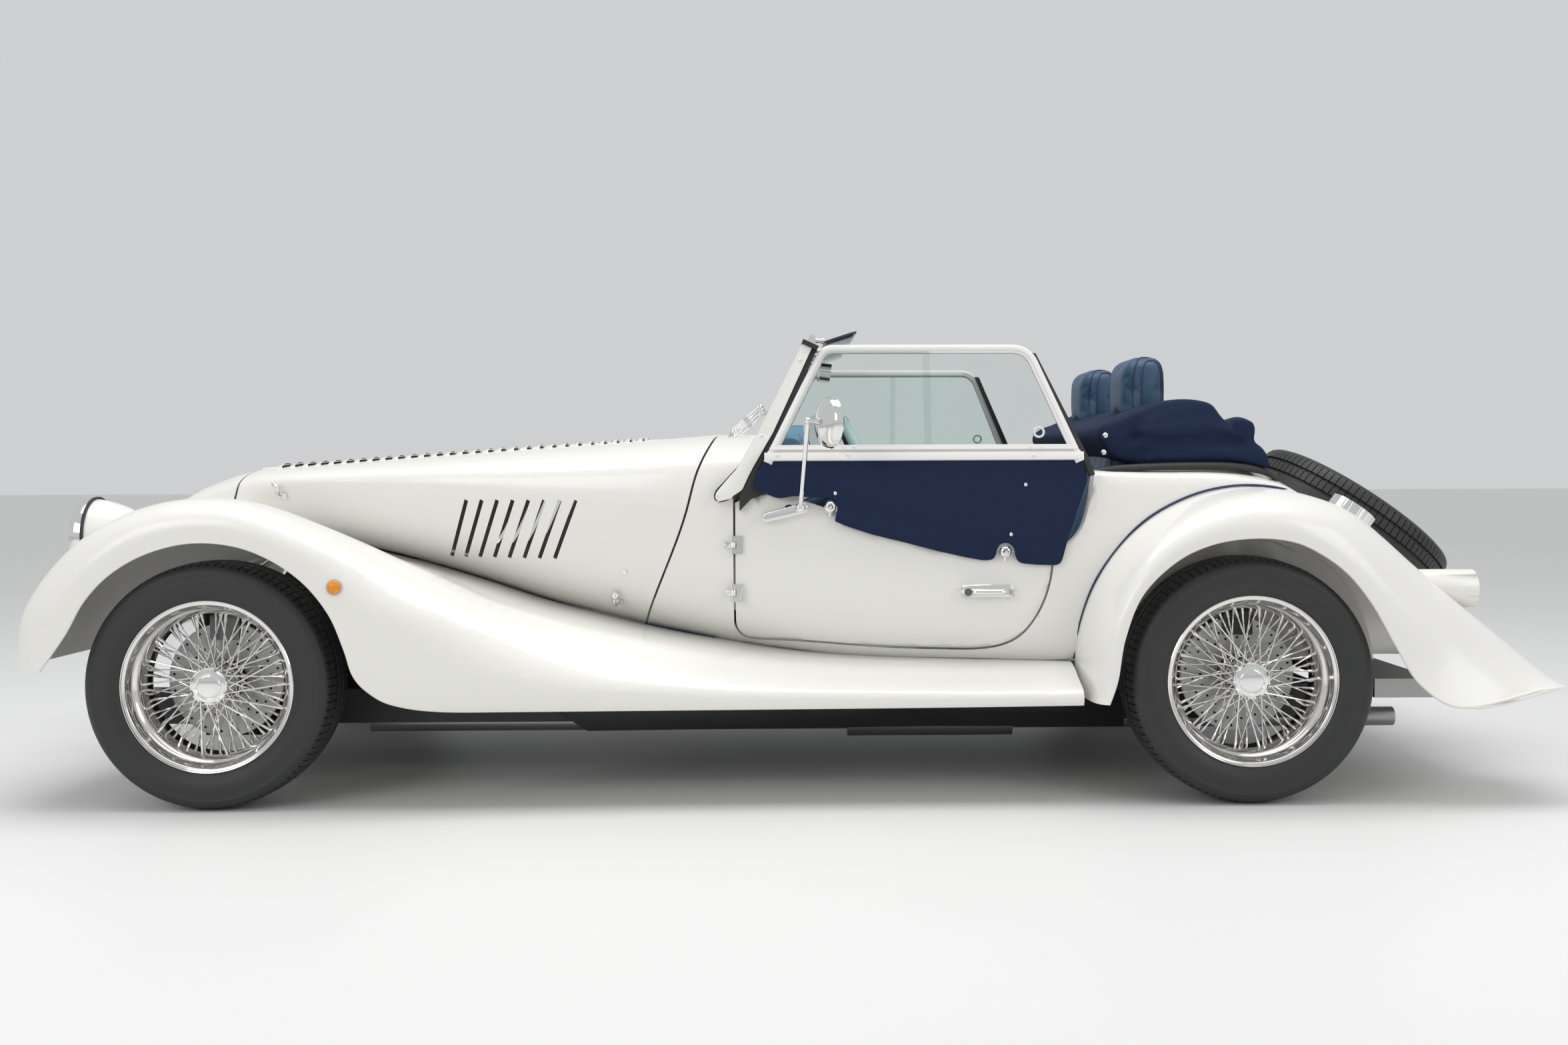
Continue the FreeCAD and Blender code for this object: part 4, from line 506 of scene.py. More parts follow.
tyreRubber = finish("tyreRubber", (0.020, 0.020, 0.021), gloss=0.50, spread=0.14, tone=0.25,
                    scale=14, bump=("grain", 500, 0.0003))
navyCloth = finish("navyCloth", (0.009, 0.019, 0.052), gloss=0.80, spread=0.08, tone=0.18, scale=5,
                   bump=("weave", 2600, 0.0003), level=0.22)
navyPiping = finish("navyPiping", (0.012, 0.028, 0.075), gloss=0.45, spread=0.05)
blueLeather = finish("blueLeather", (0.020, 0.065, 0.130), gloss=0.45, spread=0.12, tone=0.15,
                     scale=9, bump=("grain", 700, 0.0003))
paleLeather = finish("paleLeather", (0.22, 0.40, 0.58), gloss=0.45, spread=0.1, tone=0.08,
                     bump=("grain", 700, 0.0003))
rimLeather = finish("rimLeather", (0.46, 0.60, 0.62), gloss=0.42, spread=0.08, tone=0.06,
                    bump=("grain", 800, 0.0002))
visorNavy = finish("visorNavy", (0.010, 0.022, 0.055), gloss=0.16, spread=0.05, coat=0.5)
paneEdge = finish("paneEdge", (0.62, 0.66, 0.65), gloss=0.3, spread=0.05)
clearRing = finish("clearRing", (0.72, 0.73, 0.72), gloss=0.25, spread=0.05, coat=0.3)
# dark grey: the rim seams and the door buttons, and painted shade in the door locks' key slots
greyTrimAndShade = finish("greyTrimAndShade", (0.10, 0.10, 0.105), gloss=0.5, spread=0.1, tone=0.1)
blackGrip = finish("blackGrip", (0.022, 0.022, 0.026), gloss=0.45, spread=0.1, tone=0.2,
                   bump=("grain", 700, 0.0002))
# near-black: painted shade in the louvre mouths and the brake discs' drilled holes, and the printed
# ticks and needle of the dials
printAndShadeBlack = finish("printAndShadeBlack", (0.006, 0.006, 0.006), gloss=0.8, spread=0.05)
mirrorFace = finish("mirrorFace", (0.75, 0.77, 0.78), gloss=0.02, spread=0.01, tone=0.01,
                    metal=1.0)
amberLens = glass("amberLens", (1.0, 0.36, 0.02), 0.10, 0.35)
redLens = glass("redLens", (0.60, 0.01, 0.012), 0.10, 0.25)
screenGlass = glass("screenGlass", (0.86, 0.92, 0.90), 0.02, 1.0, 1.1)
lampGlass = glass("lampGlass", (0.92, 0.95, 0.96), 0.03, 1.0, 1.2)
gaugeFace = finish("gaugeFace", (0.85, 0.85, 0.82), gloss=0.4, spread=0.05)
print("finishes ready")


# bodywork

fixedPanels = ("cowl", "scuttle", "body_rear", "front_wing_left", "front_wing_right",
               "rear_wing_left", "rear_wing_right")
movingPanels = ("bonnet_left", "bonnet_right", "door_left", "door_right")
hinges = {"x": -0.1355, "y": 0.596, "heights": (0.627, 0.506), "half": 0.0235, "leaf": 0.026}
mirrorZone = {"post": 0.0056, "low": 0.690, "above": 0.752, "y": 0.6035}
handle = {"x": (0.4325, 0.5715), "z": (0.4925, 0.5265), "y": 0.003, "button": 0.451, "lock": 0.557}


def atHinge(centre):
    near = any(abs(centre.z - z) < hinges["half"] for z in hinges["heights"])
    away = math.hypot(centre.x - hinges["x"], abs(centre.y) - hinges["y"])
    leaf = abs(centre.x - hinges["x"]) < hinges["leaf"] and abs(centre.y) > hinges["y"] - 0.0012
    return near and (away < 0.0085 or leaf)


def panelBeside(node, x, z, side):
    # the panel's own width beside a fitting
    found = [onSide([node], x + step, z, side) for step in (-0.10, 0.095)]
    return sum(abs(f[0].y) for f in found) / 2


handleFace = {side: panelBeside("door_" + word, 0.502, 0.508, side)
              for side, word in sides}


def doorMark(centre):
    side = -1 if centre.y < 0 else 1
    onHandle = (handle["x"][0] < centre.x < handle["x"][1]
                and handle["z"][0] < centre.z < handle["z"][1]
                and abs(centre.y) > handleFace[side] + handle["y"])
    return 1 if onHandle or atHinge(centre) else 0


def isMirror(centre):
    out = abs(centre.y) > mirrorZone["y"]
    above = centre.z > mirrorZone["above"] and -0.16 < centre.x < 0.20
    post = centre.z > mirrorZone["low"] and abs(centre.x - mirrorZone["post"]) < 0.0125
    return out and (above or post)


for node in fixedPanels + movingPanels:
    body = node if node in movingPanels else "car"
    if node.startswith("door"):
        dressed(node, [creamPaint, chrome], body, 32, doorMark, isMirror)
    elif node == "scuttle":
        dressed(node, [creamPaint, chrome], body, 32, lambda c: int(atHinge(c)))
    else:
        dressed(node, [creamPaint], body, 32)
for node in ("chassis", "floor_pan", "front_suspension", "rear_axle", "engine_block"):
    dressed(node, [blackSteel], "car")
dressed("exhaust", [brushedSteel], "car")
for side in ("left", "right"):
    dressed("knuckle_" + side, [castGrey], "knuckle_" + side)
dressed("grille", [chrome], "car")
print("panels dressed")

# lips and joins of the wings, as (x, y, z) on the right side
wingLines = {
    "frontLip": [(-1.7836, 0.7978, 0.3431), (-1.7206, 0.8018, 0.4313), (-1.6752, 0.8018, 0.5114),
                 (-1.6122, 0.8018, 0.5769), (-1.5265, 0.8018, 0.6252), (-1.4257, 0.8018, 0.6497),
                 (-1.3224, 0.8018, 0.6434), (-1.2317, 0.8018, 0.6097), (-1.1511, 0.8018, 0.5524),
                 (-1.0906, 0.8018, 0.4759), (-1.0553, 0.801, 0.3913), (-1.0351, 0.8002, 0.3303),
                 (-0.9999, 0.797, 0.2903), (-0.9444, 0.7921, 0.2603), (-0.8361, 0.7833, 0.243),
                 (-0.6345, 0.772, 0.2402), (-0.3346, 0.7639, 0.2402), (0.0233, 0.7599, 0.2412),
                 (0.4038, 0.7583, 0.243), (0.7163, 0.7567, 0.2457)],
    "rearLip": [(0.7667, 0.8034, 0.2503), (0.7868, 0.8034, 0.3103), (0.8045, 0.8042, 0.4104),
                (0.8473, 0.805, 0.5151), (0.9305, 0.805, 0.5961), (1.0237, 0.805, 0.6379),
                (1.127, 0.805, 0.6506), (1.2177, 0.805, 0.6397), (1.2933, 0.805, 0.6024),
                (1.3538, 0.805, 0.5524), (1.4093, 0.8058, 0.4778), (1.4597, 0.8082, 0.3849),
                (1.5151, 0.8139, 0.2958), (1.6134, 0.8219, 0.243), (1.8049, 0.8147, 0.283)],
    "rearRoot": [(0.7263, 0.607, 0.3303), (0.7389, 0.607, 0.4359), (0.7843, 0.607, 0.5487),
                 (0.8826, 0.607, 0.6661), (1.001, 0.6062, 0.7362), (1.127, 0.6038, 0.7662),
                 (1.2555, 0.5901, 0.758), (1.3715, 0.5667, 0.7171), (1.4723, 0.545, 0.6397),
                 (1.5705, 0.52, 0.5496), (1.6713, 0.4999, 0.455), (1.7646, 0.4878, 0.3704)],
    "sillEdge": [(-0.3774, 0.3648, 0.4086), (-0.1859, 0.4248, 0.3758), (-0.0448, 0.4698, 0.3558),
                 (0.1241, 0.51, 0.3403), (0.4038, 0.54, 0.3322), (0.7137, 0.5652, 0.3276)],
    "lipRadius": 0.0042,
    "pipingRadius": 0.0030,
}


def sided(points, side):
    return [(x, side * y, z) for x, y, z in points]


for side, word in sides:
    bm = bmesh.new()
    for line in ("frontLip", "rearLip"):
        edgeLine = [(x, y - wingLines["lipRadius"] * 0.8, z) for x, y, z in wingLines[line]]
        tubeAlong(bm, smoothPath(sided(edgeLine, side), 8), wingLines["lipRadius"], 8)
    asPiece("wing_beads_" + word, bm, [creamPaint], "car", 60)
    bm = bmesh.new()
    tubeAlong(bm, smoothPath(sided(wingLines["sillEdge"], side), 8), wingLines["pipingRadius"], 8)
    joined = []
    for x, y, z in wingLines["rearRoot"]:
        found = onSide(["body_rear"], x, z + 0.004, side)
        if found:
            joined.append(found[0] + found[1] * 0.001)
    tubeAlong(bm, smoothPath(joined, 8), wingLines["pipingRadius"], 8)
    asPiece("wing_piping_" + word, bm, [navyPiping], "car", 60)
print("wing edges done")


# bonnet: louvres, catches and repeaters

louvres = {
    "topCount": 29, "topStart": -1.405, "topEnd": -0.400, "topOffset": 0.088,
    "topHalfLength": 0.052, "topHalfWidth": 0.015, "topHeight": 0.0105,
    "sideCount": 8, "sideLow": (-0.8885, 0.585), "sideHigh": (-0.8275, 0.737),
    "sidePitch": (0.0417, 0.0016), "sideHalfWidth": 0.0135, "sideHeight": 0.0085,
}


def scoop(bm):
    # half of a low dome, its open side towards +X
    addBall(bm, 1, Matrix(), 20, 10)
    for outward in ((0, 0, -1), (1, 0, 0)):
        geom = bm.verts[:] + bm.edges[:] + bm.faces[:]
        bmesh.ops.bisect_plane(bm, geom=geom, plane_co=(0, 0, 0), plane_no=outward,
                               clear_outer=True)
    edges = [e for e in bm.edges if e.is_boundary and all(abs(v.co.x) < 1e-5 for v in e.verts)]
    mouth = bmesh.ops.contextual_create(bm, geom=edges)["faces"]
    bmesh.ops.inset_region(bm, faces=mouth, thickness=0.10, depth=0)
    # the mouth is closed by a face sunk into the dome in the near-black second material: painted
    # shade for the louvre's opening
    for face in mouth:
        face.material_index = 1
    bmesh.ops.translate(bm, vec=(-0.25, 0, 0), verts=list({v for f in mouth for v in f.verts}))


scoopStamp = small(scoop)
for side, word in sides:
    bm = bmesh.new()
    bonnet = "bonnet_" + word
    for k in range(louvres["topCount"]):
        share = k / (louvres["topCount"] - 1)
        x = louvres["topStart"] + (louvres["topEnd"] - louvres["topStart"]) * share
        found = onTop([bonnet], x, side * louvres["topOffset"])
        if found:
            shape = Matrix.Diagonal((louvres["topHalfWidth"], louvres["topHalfLength"],
                                     louvres["topHeight"], 1))
            stamped(bm, scoopStamp, framed(*found) @ shape)
    for k in range(louvres["sideCount"]):
        lowX = louvres["sideLow"][0] + louvres["sidePitch"][0] * k
        lowZ = louvres["sideLow"][1]
        topX = louvres["sideHigh"][0] + louvres["sidePitch"][0] * k
        topZ = louvres["sideHigh"][1] + louvres["sidePitch"][1] * k
        low, top, middle = [onSide([bonnet], x, z, side) for x, z in
                            ((lowX, lowZ), (topX, topZ), ((lowX + topX) / 2, (lowZ + topZ) / 2))]
        if low and top and middle:
            run = top[0] - low[0]
            out = middle[1].normalized()
            across = run.normalized().cross(out).normalized()
            if across.x < 0:
                across = -across
            shape = Matrix.Diagonal((louvres["sideHalfWidth"], run.length / 2,
                                     louvres["sideHeight"], 1))
            place = (low[0] + top[0]) / 2 * 0.4 + middle[0] * 0.6
            stamped(bm, scoopStamp, axesAt(place, across, out.cross(across), out) @ shape)
    asPiece("louvres_" + word, bm, [creamPaint, printAndShadeBlack], bonnet, 40)

catches = {
    "rear": (-0.4395, 0.477), "rearPlate": (0.016, 0.009, 0.004), "rearScrews": (-0.012, 0.012),
    "rearPath": [(0, -0.004, 0.002), (0, 0.004, 0.016), (0, 0.020, 0.022), (0, 0.034, 0.014)],
    "rearWidths": [0.006] * 4 + [0.005] * 9, "ball": (0.011, (0, 0.036, 0.012)),
    "front": (-1.3555, 0.752), "frontPlate": (0.017, 0.008, 0.005), "frontWidth": 0.0055,
    "frontPath": [(0, 0.0, 0.003), (0.003, 0.014, 0.018), (0.002, 0.030, 0.022),
                  (-0.012, 0.038, 0.016)],
    "screw": (-0.4155, 0.555), "screwSize": (0.0055, 0.003),
}
repeater = {"x": -1.0775, "z": 0.541, "sink": 0.004, "collar": (0.0205, 0.0195, 0.016),
            "lens": (0.0165, 0.007, 0.45)}


def bent(at, points):
    return [at @ Vector(p) for p in smoothPath(points, 4)]


for side, word in sides:
    bm = bmesh.new()
    bonnet = ["bonnet_" + word]
    found = onSide(bonnet, *catches["rear"], side)
    if found:
        at = framed(*found)
        x, y, z = catches["rearPlate"]
        addBox(bm, (-x, -y, 0), (x, y, z), at)
        tubeAlong(bm, bent(at, catches["rearPath"]), catches["rearWidths"], 10)
        radius, place = catches["ball"]
        addBall(bm, radius, at @ Matrix.Translation(place))
        for x in catches["rearScrews"]:
            addRod(bm, at @ Vector((x, 0, 0.003)), at @ Vector((x, 0, 0.006)), 0.0035, 10)
    found = onSide(bonnet, *catches["screw"], side)
    if found:
        radius, height = catches["screwSize"]
        addRod(bm, found[0], found[0] + found[1] * height, radius, 14)
    found = onSide(bonnet, *catches["front"], side)
    if found:
        at = framed(*found)
        x, y, z = catches["frontPlate"]
        addBox(bm, (-x, -y, -0.001), (x, y, z), at)
        tubeAlong(bm, bent(at, catches["frontPath"]), catches["frontWidth"], 10)
    asPiece("bonnet_catches_" + word, bm, [chrome], "bonnet_" + word, 40)
    bm = bmesh.new()
    found = onSide(["front_wing_" + word], repeater["x"], repeater["z"], side)
    if found:
        at = framed(found[0] - found[1] * repeater["sink"], found[1])
        foot, rim, depth = repeater["collar"]
        bmesh.ops.create_cone(bm, cap_ends=True, segments=32, radius1=foot, radius2=rim,
                              depth=depth, matrix=at)
        radius, lift, flat = repeater["lens"]
        place = at @ Matrix.Translation((0, 0, lift)) @ Matrix.Diagonal((1, 1, flat, 1))
        paintFaces(addBall(bm, radius, place, 32, 12))
    asPiece("repeater_" + word, bm, [chrome, amberLens], "car", 40)

# the hinge strip along the bonnet's middle
strip = {"front": -1.4620, "rear": -0.1870, "radius": 0.0038, "sink": 0.0012, "steps": 24}
bm = bmesh.new()
path = []
for k in range(strip["steps"] + 1):
    x = strip["front"] + (strip["rear"] - strip["front"]) * k / strip["steps"]
    found = onTop(["bonnet_left", "bonnet_right"], x, -0.0065)
    if found:
        path.append(Vector((x, 0, found[0].z - strip["sink"])))
tubeAlong(bm, path, strip["radius"], 16)
asPiece("bonnet_strip", bm, [chrome], "car", 40)
print("bonnet details done")


# head lamps, tail lamps and filler cap

lampSizes = {"x": -1.8315, "y": 0.405, "z": 0.649, "radius": 0.100, "steps": 72}
# rings as (back from the lens, out from the lamp's radius)
lampRings = {
    "bezel": [(0.024, 0.0015), (0.010, 0.0035), (-0.004, 0.0015), (-0.008, -0.004),
              (-0.004, -0.011), (0.0, -0.012), (0.002, -0.006), (0.024, -0.002)],
    "gasket": [(0.022, 0.0022), (0.029, 0.0022), (0.029, -0.003), (0.022, -0.003)],
}
dressed("head_lamps", [creamPaint], "car", 50)
for side, word in sides:
    for part, material, slotName in (("bezel", chrome, "bright_metal"),
                                     ("gasket", blackRubber, "black_steel")):
        bm = bmesh.new()
        turned(bm, [(a, lampSizes["radius"] + r) for a, r in lampRings[part]], lampSizes["steps"],
               closed=True)
        bmesh.ops.rotate(bm, cent=(0, 0, 0), matrix=Matrix.Rotation(-math.pi / 2, 3, "Z"),
                         verts=bm.verts)
        bmesh.ops.translate(bm, vec=(lampSizes["x"], side * lampSizes["y"], lampSizes["z"]),
                            verts=bm.verts)
        asPiece("lamp_" + part + "_" + word, bm, [material], "car", 50, outward=True)
dressed("lamp_lenses", [lampGlass, redLens], "car", 50, lambda c: int(c.x > 0))
dressed("tail_lamps", [creamPaint], "car", 50)
dressed("fuel_cap", [chrome], "car", 30)
print("lamps done")


# wheels and tyres

# rows of spokes are (y at the hub, y at the rim, turn between them)
wheelSizes = {
    "wellRadius": 0.172, "spokes": 72, "spokeRadius": 0.0021, "hubRadius": 0.036, "pitches": 96,
    "rows": [(-0.054, -0.030, 0.62), (-0.054, -0.012, -0.62), (0.040, 0.010, 0.42),
             (0.040, 0.028, -0.42)], "grooveDepth": 0.005, "flats": 8, "discHoles": 20,
    "holeRows": (0.092, 0.112, 0.130),
}


def tyreProfile():
    half = [(0.072, 0.1990), (0.0820, 0.2030), (0.0885, 0.2130), (0.0895, 0.2140),
            (0.0925, 0.2260), (0.0932, 0.2270), (0.0948, 0.2450), (0.0945, 0.2600),
            (0.0925, 0.2720), (0.0932, 0.2735), (0.0895, 0.2830), (0.0830, 0.2900),
            (0.0740, 0.2945), (0.0560, 0.2975), (0.0550, 0.2905), (0.0490, 0.2905),
            (0.0480, 0.2985), (0.0230, 0.2997), (0.0220, 0.2920), (0.0150, 0.2920),
            (0.0140, 0.3000)]
    return [(-a, r) for a, r in half] + [(a, r) for a, r in reversed(half)]


def tyreMesh(bm):
    # one pitch of tread with its cross groove, repeated all round
    profile = tyreProfile()
    pitch = math.tau / wheelSizes["pitches"]
    verts = [bm.verts.new((0, a, r)) for a, r in profile]
    edges = [bm.edges.new(pair) for pair in zip(verts, verts[1:])]
    first = bmesh.ops.spin(bm, geom=verts + edges, cent=(0, 0, 0), axis=(0, 1, 0),
                           angle=pitch * 0.14, steps=1, use_duplicate=False)
    grooveFaces = []
    for face in bm.faces:
        centre = face.calc_center_median()
        radius = math.hypot(centre.x, centre.z)
        if radius > 0.2875 and 0.026 < abs(centre.y) < 0.0895:
            grooveFaces.append(face)
    bmesh.ops.spin(bm, geom=first["geom_last"], cent=(0, 0, 0), axis=(0, 1, 0),
                   angle=pitch * 0.86, steps=1, use_duplicate=False)
    sunk = bmesh.ops.extrude_face_region(bm, geom=grooveFaces)
    moved = vertsIn(sunk["geom"])
    bmesh.ops.delete(bm, geom=grooveFaces, context="FACES_ONLY")
    for v in moved:
        radius = math.hypot(v.co.x, v.co.z)
        sunken = (radius - wheelSizes["grooveDepth"]) / radius
        v.co.x *= sunken
        v.co.z *= sunken
    piece = bm.verts[:] + bm.edges[:] + bm.faces[:]
    bmesh.ops.spin(bm, geom=piece, cent=(0, 0, 0), axis=(0, 1, 0), angle=math.tau,
                   steps=wheelSizes["pitches"], use_duplicate=True, use_merge=False)
    bmesh.ops.remove_doubles(bm, verts=bm.verts, dist=0.00005)
    bmesh.ops.recalc_face_normals(bm, faces=bm.faces)


def rimMesh(bm):
    outer = [(-0.0860, 0.2085), (-0.0875, 0.2065), (-0.0868, 0.2045), (-0.0845, 0.2035),
             (-0.0835, 0.1990), (-0.0810, 0.1965), (-0.0700, 0.1945), (-0.0600, 0.1925),
             (-0.0520, 0.1850), (-0.0440, 0.1760), (-0.0300, 0.1725), (0.0300, 0.1725),
             (0.0440, 0.1760), (0.0520, 0.1850), (0.0600, 0.1925), (0.0800, 0.1965),
             (0.0850, 0.2045), (0.0860, 0.2085)]
    inner = [(0.0825, 0.2085), (0.0815, 0.2000), (0.0600, 0.1965), (0.0500, 0.1890),
             (0.0420, 0.1800), (0.0280, 0.1765), (-0.0280, 0.1765), (-0.0420, 0.1800),
             (-0.0500, 0.1890), (-0.0600, 0.1965), (-0.0800, 0.2000), (-0.0825, 0.2085)]
    turned(bm, outer + inner, 96, closed=True)
    bmesh.ops.recalc_face_normals(bm, faces=bm.faces)


def wireMesh(bm):
    count = wheelSizes["spokes"]
    for k in range(count):
        hubY, rimY, lead = wheelSizes["rows"][k % 4]
        turn = math.tau * k / count
        hubR = wheelSizes["hubRadius"] * (0.98 if hubY < 0 else 1.25)
        start = Vector((hubR * math.cos(turn - lead), hubY, hubR * math.sin(turn - lead)))
        rimR = wheelSizes["wellRadius"] + 0.001
        end = Vector((rimR * math.cos(turn), rimY, rimR * math.sin(turn)))
        addRod(bm, start, end, wheelSizes["spokeRadius"], 8)
        along = (end - start).normalized()
        addRod(bm, end - along * 0.020, end, 0.0032, 8, 0.0040)
        addRod(bm, start - along * 0.003, start + along * 0.006, 0.0036, 8, 0.0026)


def hubMesh(bm):
    profile = [(-0.0600, 0.001), (-0.0600, 0.0300), (-0.0590, 0.0405), (-0.0520, 0.0420),
               (-0.0470, 0.0410), (-0.0430, 0.0330), (0.0250, 0.0350), (0.0340, 0.0440),
               (0.0460, 0.0470), (0.0500, 0.0440), (0.0620, 0.0440), (0.0620, 0.001)]
    turned(bm, profile, 48)
    cap = [(-0.0735, 0.0005), (-0.0735, 0.0240), (-0.0728, 0.0270), (-0.0712, 0.0285),
           (-0.0712, 0.0300), (-0.0730, 0.0320), (-0.0720, 0.0395), (-0.0680, 0.0430),
           (-0.0600, 0.0432), (-0.0590, 0.0400)]
    turned(bm, cap, 48)
    for k in range(wheelSizes["flats"]):
        flat = Matrix.Rotation(math.tau * k / wheelSizes["flats"], 4, "Y")
        addBox(bm, (-0.010, -0.0705, 0.0405), (0.010, -0.0610, 0.0440), flat)
    bmesh.ops.remove_doubles(bm, verts=bm.verts, dist=0.0002)
    bmesh.ops.recalc_face_normals(bm, faces=bm.faces)


def discMesh(bm):
    rotor = [(0.0562, 0.050), (0.0562, 0.072), (0.0560, 0.1415), (0.0564, 0.1420),
             (0.0586, 0.1420), (0.0590, 0.1400), (0.0650, 0.1400), (0.0654, 0.1420),
             (0.0676, 0.1420), (0.0680, 0.1415), (0.0680, 0.050)]
    turned(bm, rotor, 72, closed=True)
    bmesh.ops.recalc_face_normals(bm, faces=bm.faces)
    # the drilled holes are thin near-black discs on the rotor's face: painted shade
    for k in range(wheelSizes["discHoles"]):
        for row, radius in enumerate(wheelSizes["holeRows"]):
            turn = math.tau * (k + row / 3) / wheelSizes["discHoles"]
            at = Vector((radius * math.cos(turn), 0.0560, radius * math.sin(turn)))
            paintFaces(addRod(bm, at, at + Vector((0, -0.0004, 0)), 0.0032, 10))


stamps = {"tyre": small(tyreMesh), "rim": small(rimMesh), "wires": small(wireMesh),
          "hub": small(hubMesh), "disc": small(discMesh)}


def placedWheel(label, body, axleX, side):
    flip = Matrix.Diagonal((1, 1 if side < 0 else -1, 1, 1))
    place = Matrix.Translation((axleX, side * car["trackHalf"], car["axleHeight"])) @ flip
    made = {}
    for part, materials in (("tyre", [tyreRubber]), ("rim", [wireChrome]), ("wires", [wireChrome]),
                            ("hub", [chrome]), ("disc", [brushedSteel, printAndShadeBlack])):
        bm = bmesh.new()
        stamped(bm, stamps[part], place)
        bmesh.ops.recalc_face_normals(bm, faces=bm.faces)
        made[part] = asPiece(part + "_" + label, bm, materials, body, 38)
    return made


for end, axleX in (("front", car["frontAxleX"]), ("rear", car["rearAxleX"])):
    for side, word in sides:
        label = end + "_" + word
        made = placedWheel(label, "wheel_" + label, axleX, side)
        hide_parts("wheel_" + label)
        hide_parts("tyre_" + label)

# the spare lies in the sloping tail, its outer face up
spare = {"lean": math.radians(36), "corner": Vector((1.41934, 0, 0.87997)), "half": 0.095}
spareNormal = Vector((math.sin(spare["lean"]), 0, math.cos(spare["lean"])))
spareAlong = Vector((math.cos(spare["lean"]), 0, -math.sin(spare["lean"])))
spareCentre = spare["corner"] + spareAlong * car["tyreRadius"] - spareNormal * spare["half"]
spareTurn = axesAt(spareCentre, spareAlong, -spareNormal, Vector((0, -1, 0)))
bm = bmesh.new()
stamped(bm, stamps["tyre"], spareTurn)
spareTyre = asPiece("spare_tyre_dressed", bm, [tyreRubber], "car", 38, outward=True)
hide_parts("spare_tyre")
bm = bmesh.new()
for part in ("rim", "wires", "hub"):
    stamped(bm, stamps[part], spareTurn)
spareWheel = asPiece("spare_wheel_dressed", bm, [wireChrome], "car", 38,
                     outward=True)
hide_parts("spare_wheel")
print("wheels done")


# small fittings

def screwMesh(bm):
    turned(bm, [(0, 1), (-0.25, 1), (-0.52, 0.84), (-0.70, 0.50), (-0.72, 0.30), (-0.42, 0.24),
                (-0.42, 0.0005)], 16)
    bmesh.ops.rotate(bm, cent=(0, 0, 0), matrix=Matrix.Rotation(-math.pi / 2, 3, "X"),
                     verts=bm.verts)
    bmesh.ops.recalc_face_normals(bm, faces=bm.faces)


screwStamp = small(screwMesh)


def screw(bm, place, outward, radius, materialIndex=None):
    stamped(bm, screwStamp, framed(place, outward) @ Matrix.Scale(radius, 4), materialIndex)


def shaded(bm, index, held):
    # gives the faces made since these ones a material
    for face in bm.faces:
        if face not in held:
            face.material_index = index


# windscreen, wipers and mirrors

dressed("windscreen_frame", [pearlTrim], "car", 30)
dressed("windscreen_glass", [screenGlass], "car", 30)
pillar = {"foot": 0.7335, "face": 0.614, "lean": 0.0787,
          "rearEdge": [(0.0630, 1.1240), (-0.0347, 0.9064), (-0.0815, 0.8250), (-0.1128, 0.7708),
                       (-0.1190, 0.7450), (-0.1189, 0.7127)],
          "sealEdge": [(0.0765, 1.1150), (-0.0200, 0.9000), (-0.0640, 0.8250), (-0.0820, 0.7760),
                       (-0.0560, 0.7540), (-0.0900, 0.7420)],
          "screws": [(0.0352, 1.0916), (-0.0621, 0.9007), (-0.1743, 0.7514)],
          "cap": (0.0602, 0.556, 1.1300), "capHalf": (0.0215, 0.0335, 0.006)}
alongPillar = Vector((0.419, 0, 0.908)).normalized()
acrossPillar = Vector((0.908, 0, -0.419)).normalized()


def pillarFace(x, z, side, out=0.0):
    return Vector((x, side * (pillar["face"] + out - (z - pillar["foot"]) * pillar["lean"]), z))


for side, word in sides:
    bm = bmesh.new()
    outline = pillar["rearEdge"] + pillar["sealEdge"][::-1]
    plateOf(bm, outline, 0.0, 0.030, 0.003)
    for v in bm.verts:
        v.co.y = pillarFace(0, v.co.z, side, -0.004 - v.co.y).y
    bmesh.ops.recalc_face_normals(bm, faces=bm.faces)
    x, y, z = pillar["cap"]
    half = Vector(pillar["capHalf"])
    addBox(bm, -half, half, axesAt(Vector((x, side * y, z)), acrossPillar, Vector((0, 1, 0)),
                                   alongPillar))
    asPiece("pillar_seal_" + word, bm, [blackRubber], "car", 40)
    bm = bmesh.new()
    for x, z in pillar["screws"]:
        screw(bm, pillarFace(x, z, side, -0.0006), (0, side, 0.08), 0.0048)
    asPiece("pillar_screws_" + word, bm, [chrome], "car", 40)

# each pillar's flared foot on its gasket, and the scuttle's corner behind the bonnet
footShape = {
    "foot": [(-0.1800, 0.7498), (-0.1782, 0.7425), (-0.1710, 0.7380), (-0.1547, 0.7415),
             (-0.1330, 0.7514), (-0.1120, 0.7650), (-0.0966, 0.7983), (-0.0820, 0.8254),
             (-0.0601, 0.8633), (-0.0382, 0.9029), (-0.0720, 0.9049), (-0.0908, 0.8706),
             (-0.1036, 0.8471), (-0.1218, 0.8219), (-0.1436, 0.7985), (-0.1636, 0.7750),
             (-0.1745, 0.7624)],
    "gasket": [(-0.1837, 0.7516), (-0.1819, 0.7407), (-0.1720, 0.7334), (-0.1530, 0.7370),
               (-0.1258, 0.7504), (-0.1004, 0.7648), (-0.0858, 0.7765), (-0.0700, 0.8400),
               (-0.0700, 0.8941), (-0.0927, 0.8706), (-0.1072, 0.8472), (-0.1254, 0.8219),
               (-0.1454, 0.8003), (-0.1654, 0.7786), (-0.1782, 0.7660)],
    "sink": 0.0125, "turnOver": 0.0180, "softness": 0.006, "bevel": 0.0015,
}
corner = {"x": -0.1385, "probe": -0.1420, "low": 0.770, "high": 0.9080, "steps": 24,
          "reach": 0.012, "wall": 0.002, "pillarFoot": (-0.176, 0.733),
          "pillarTop": (-0.072, 0.906)}
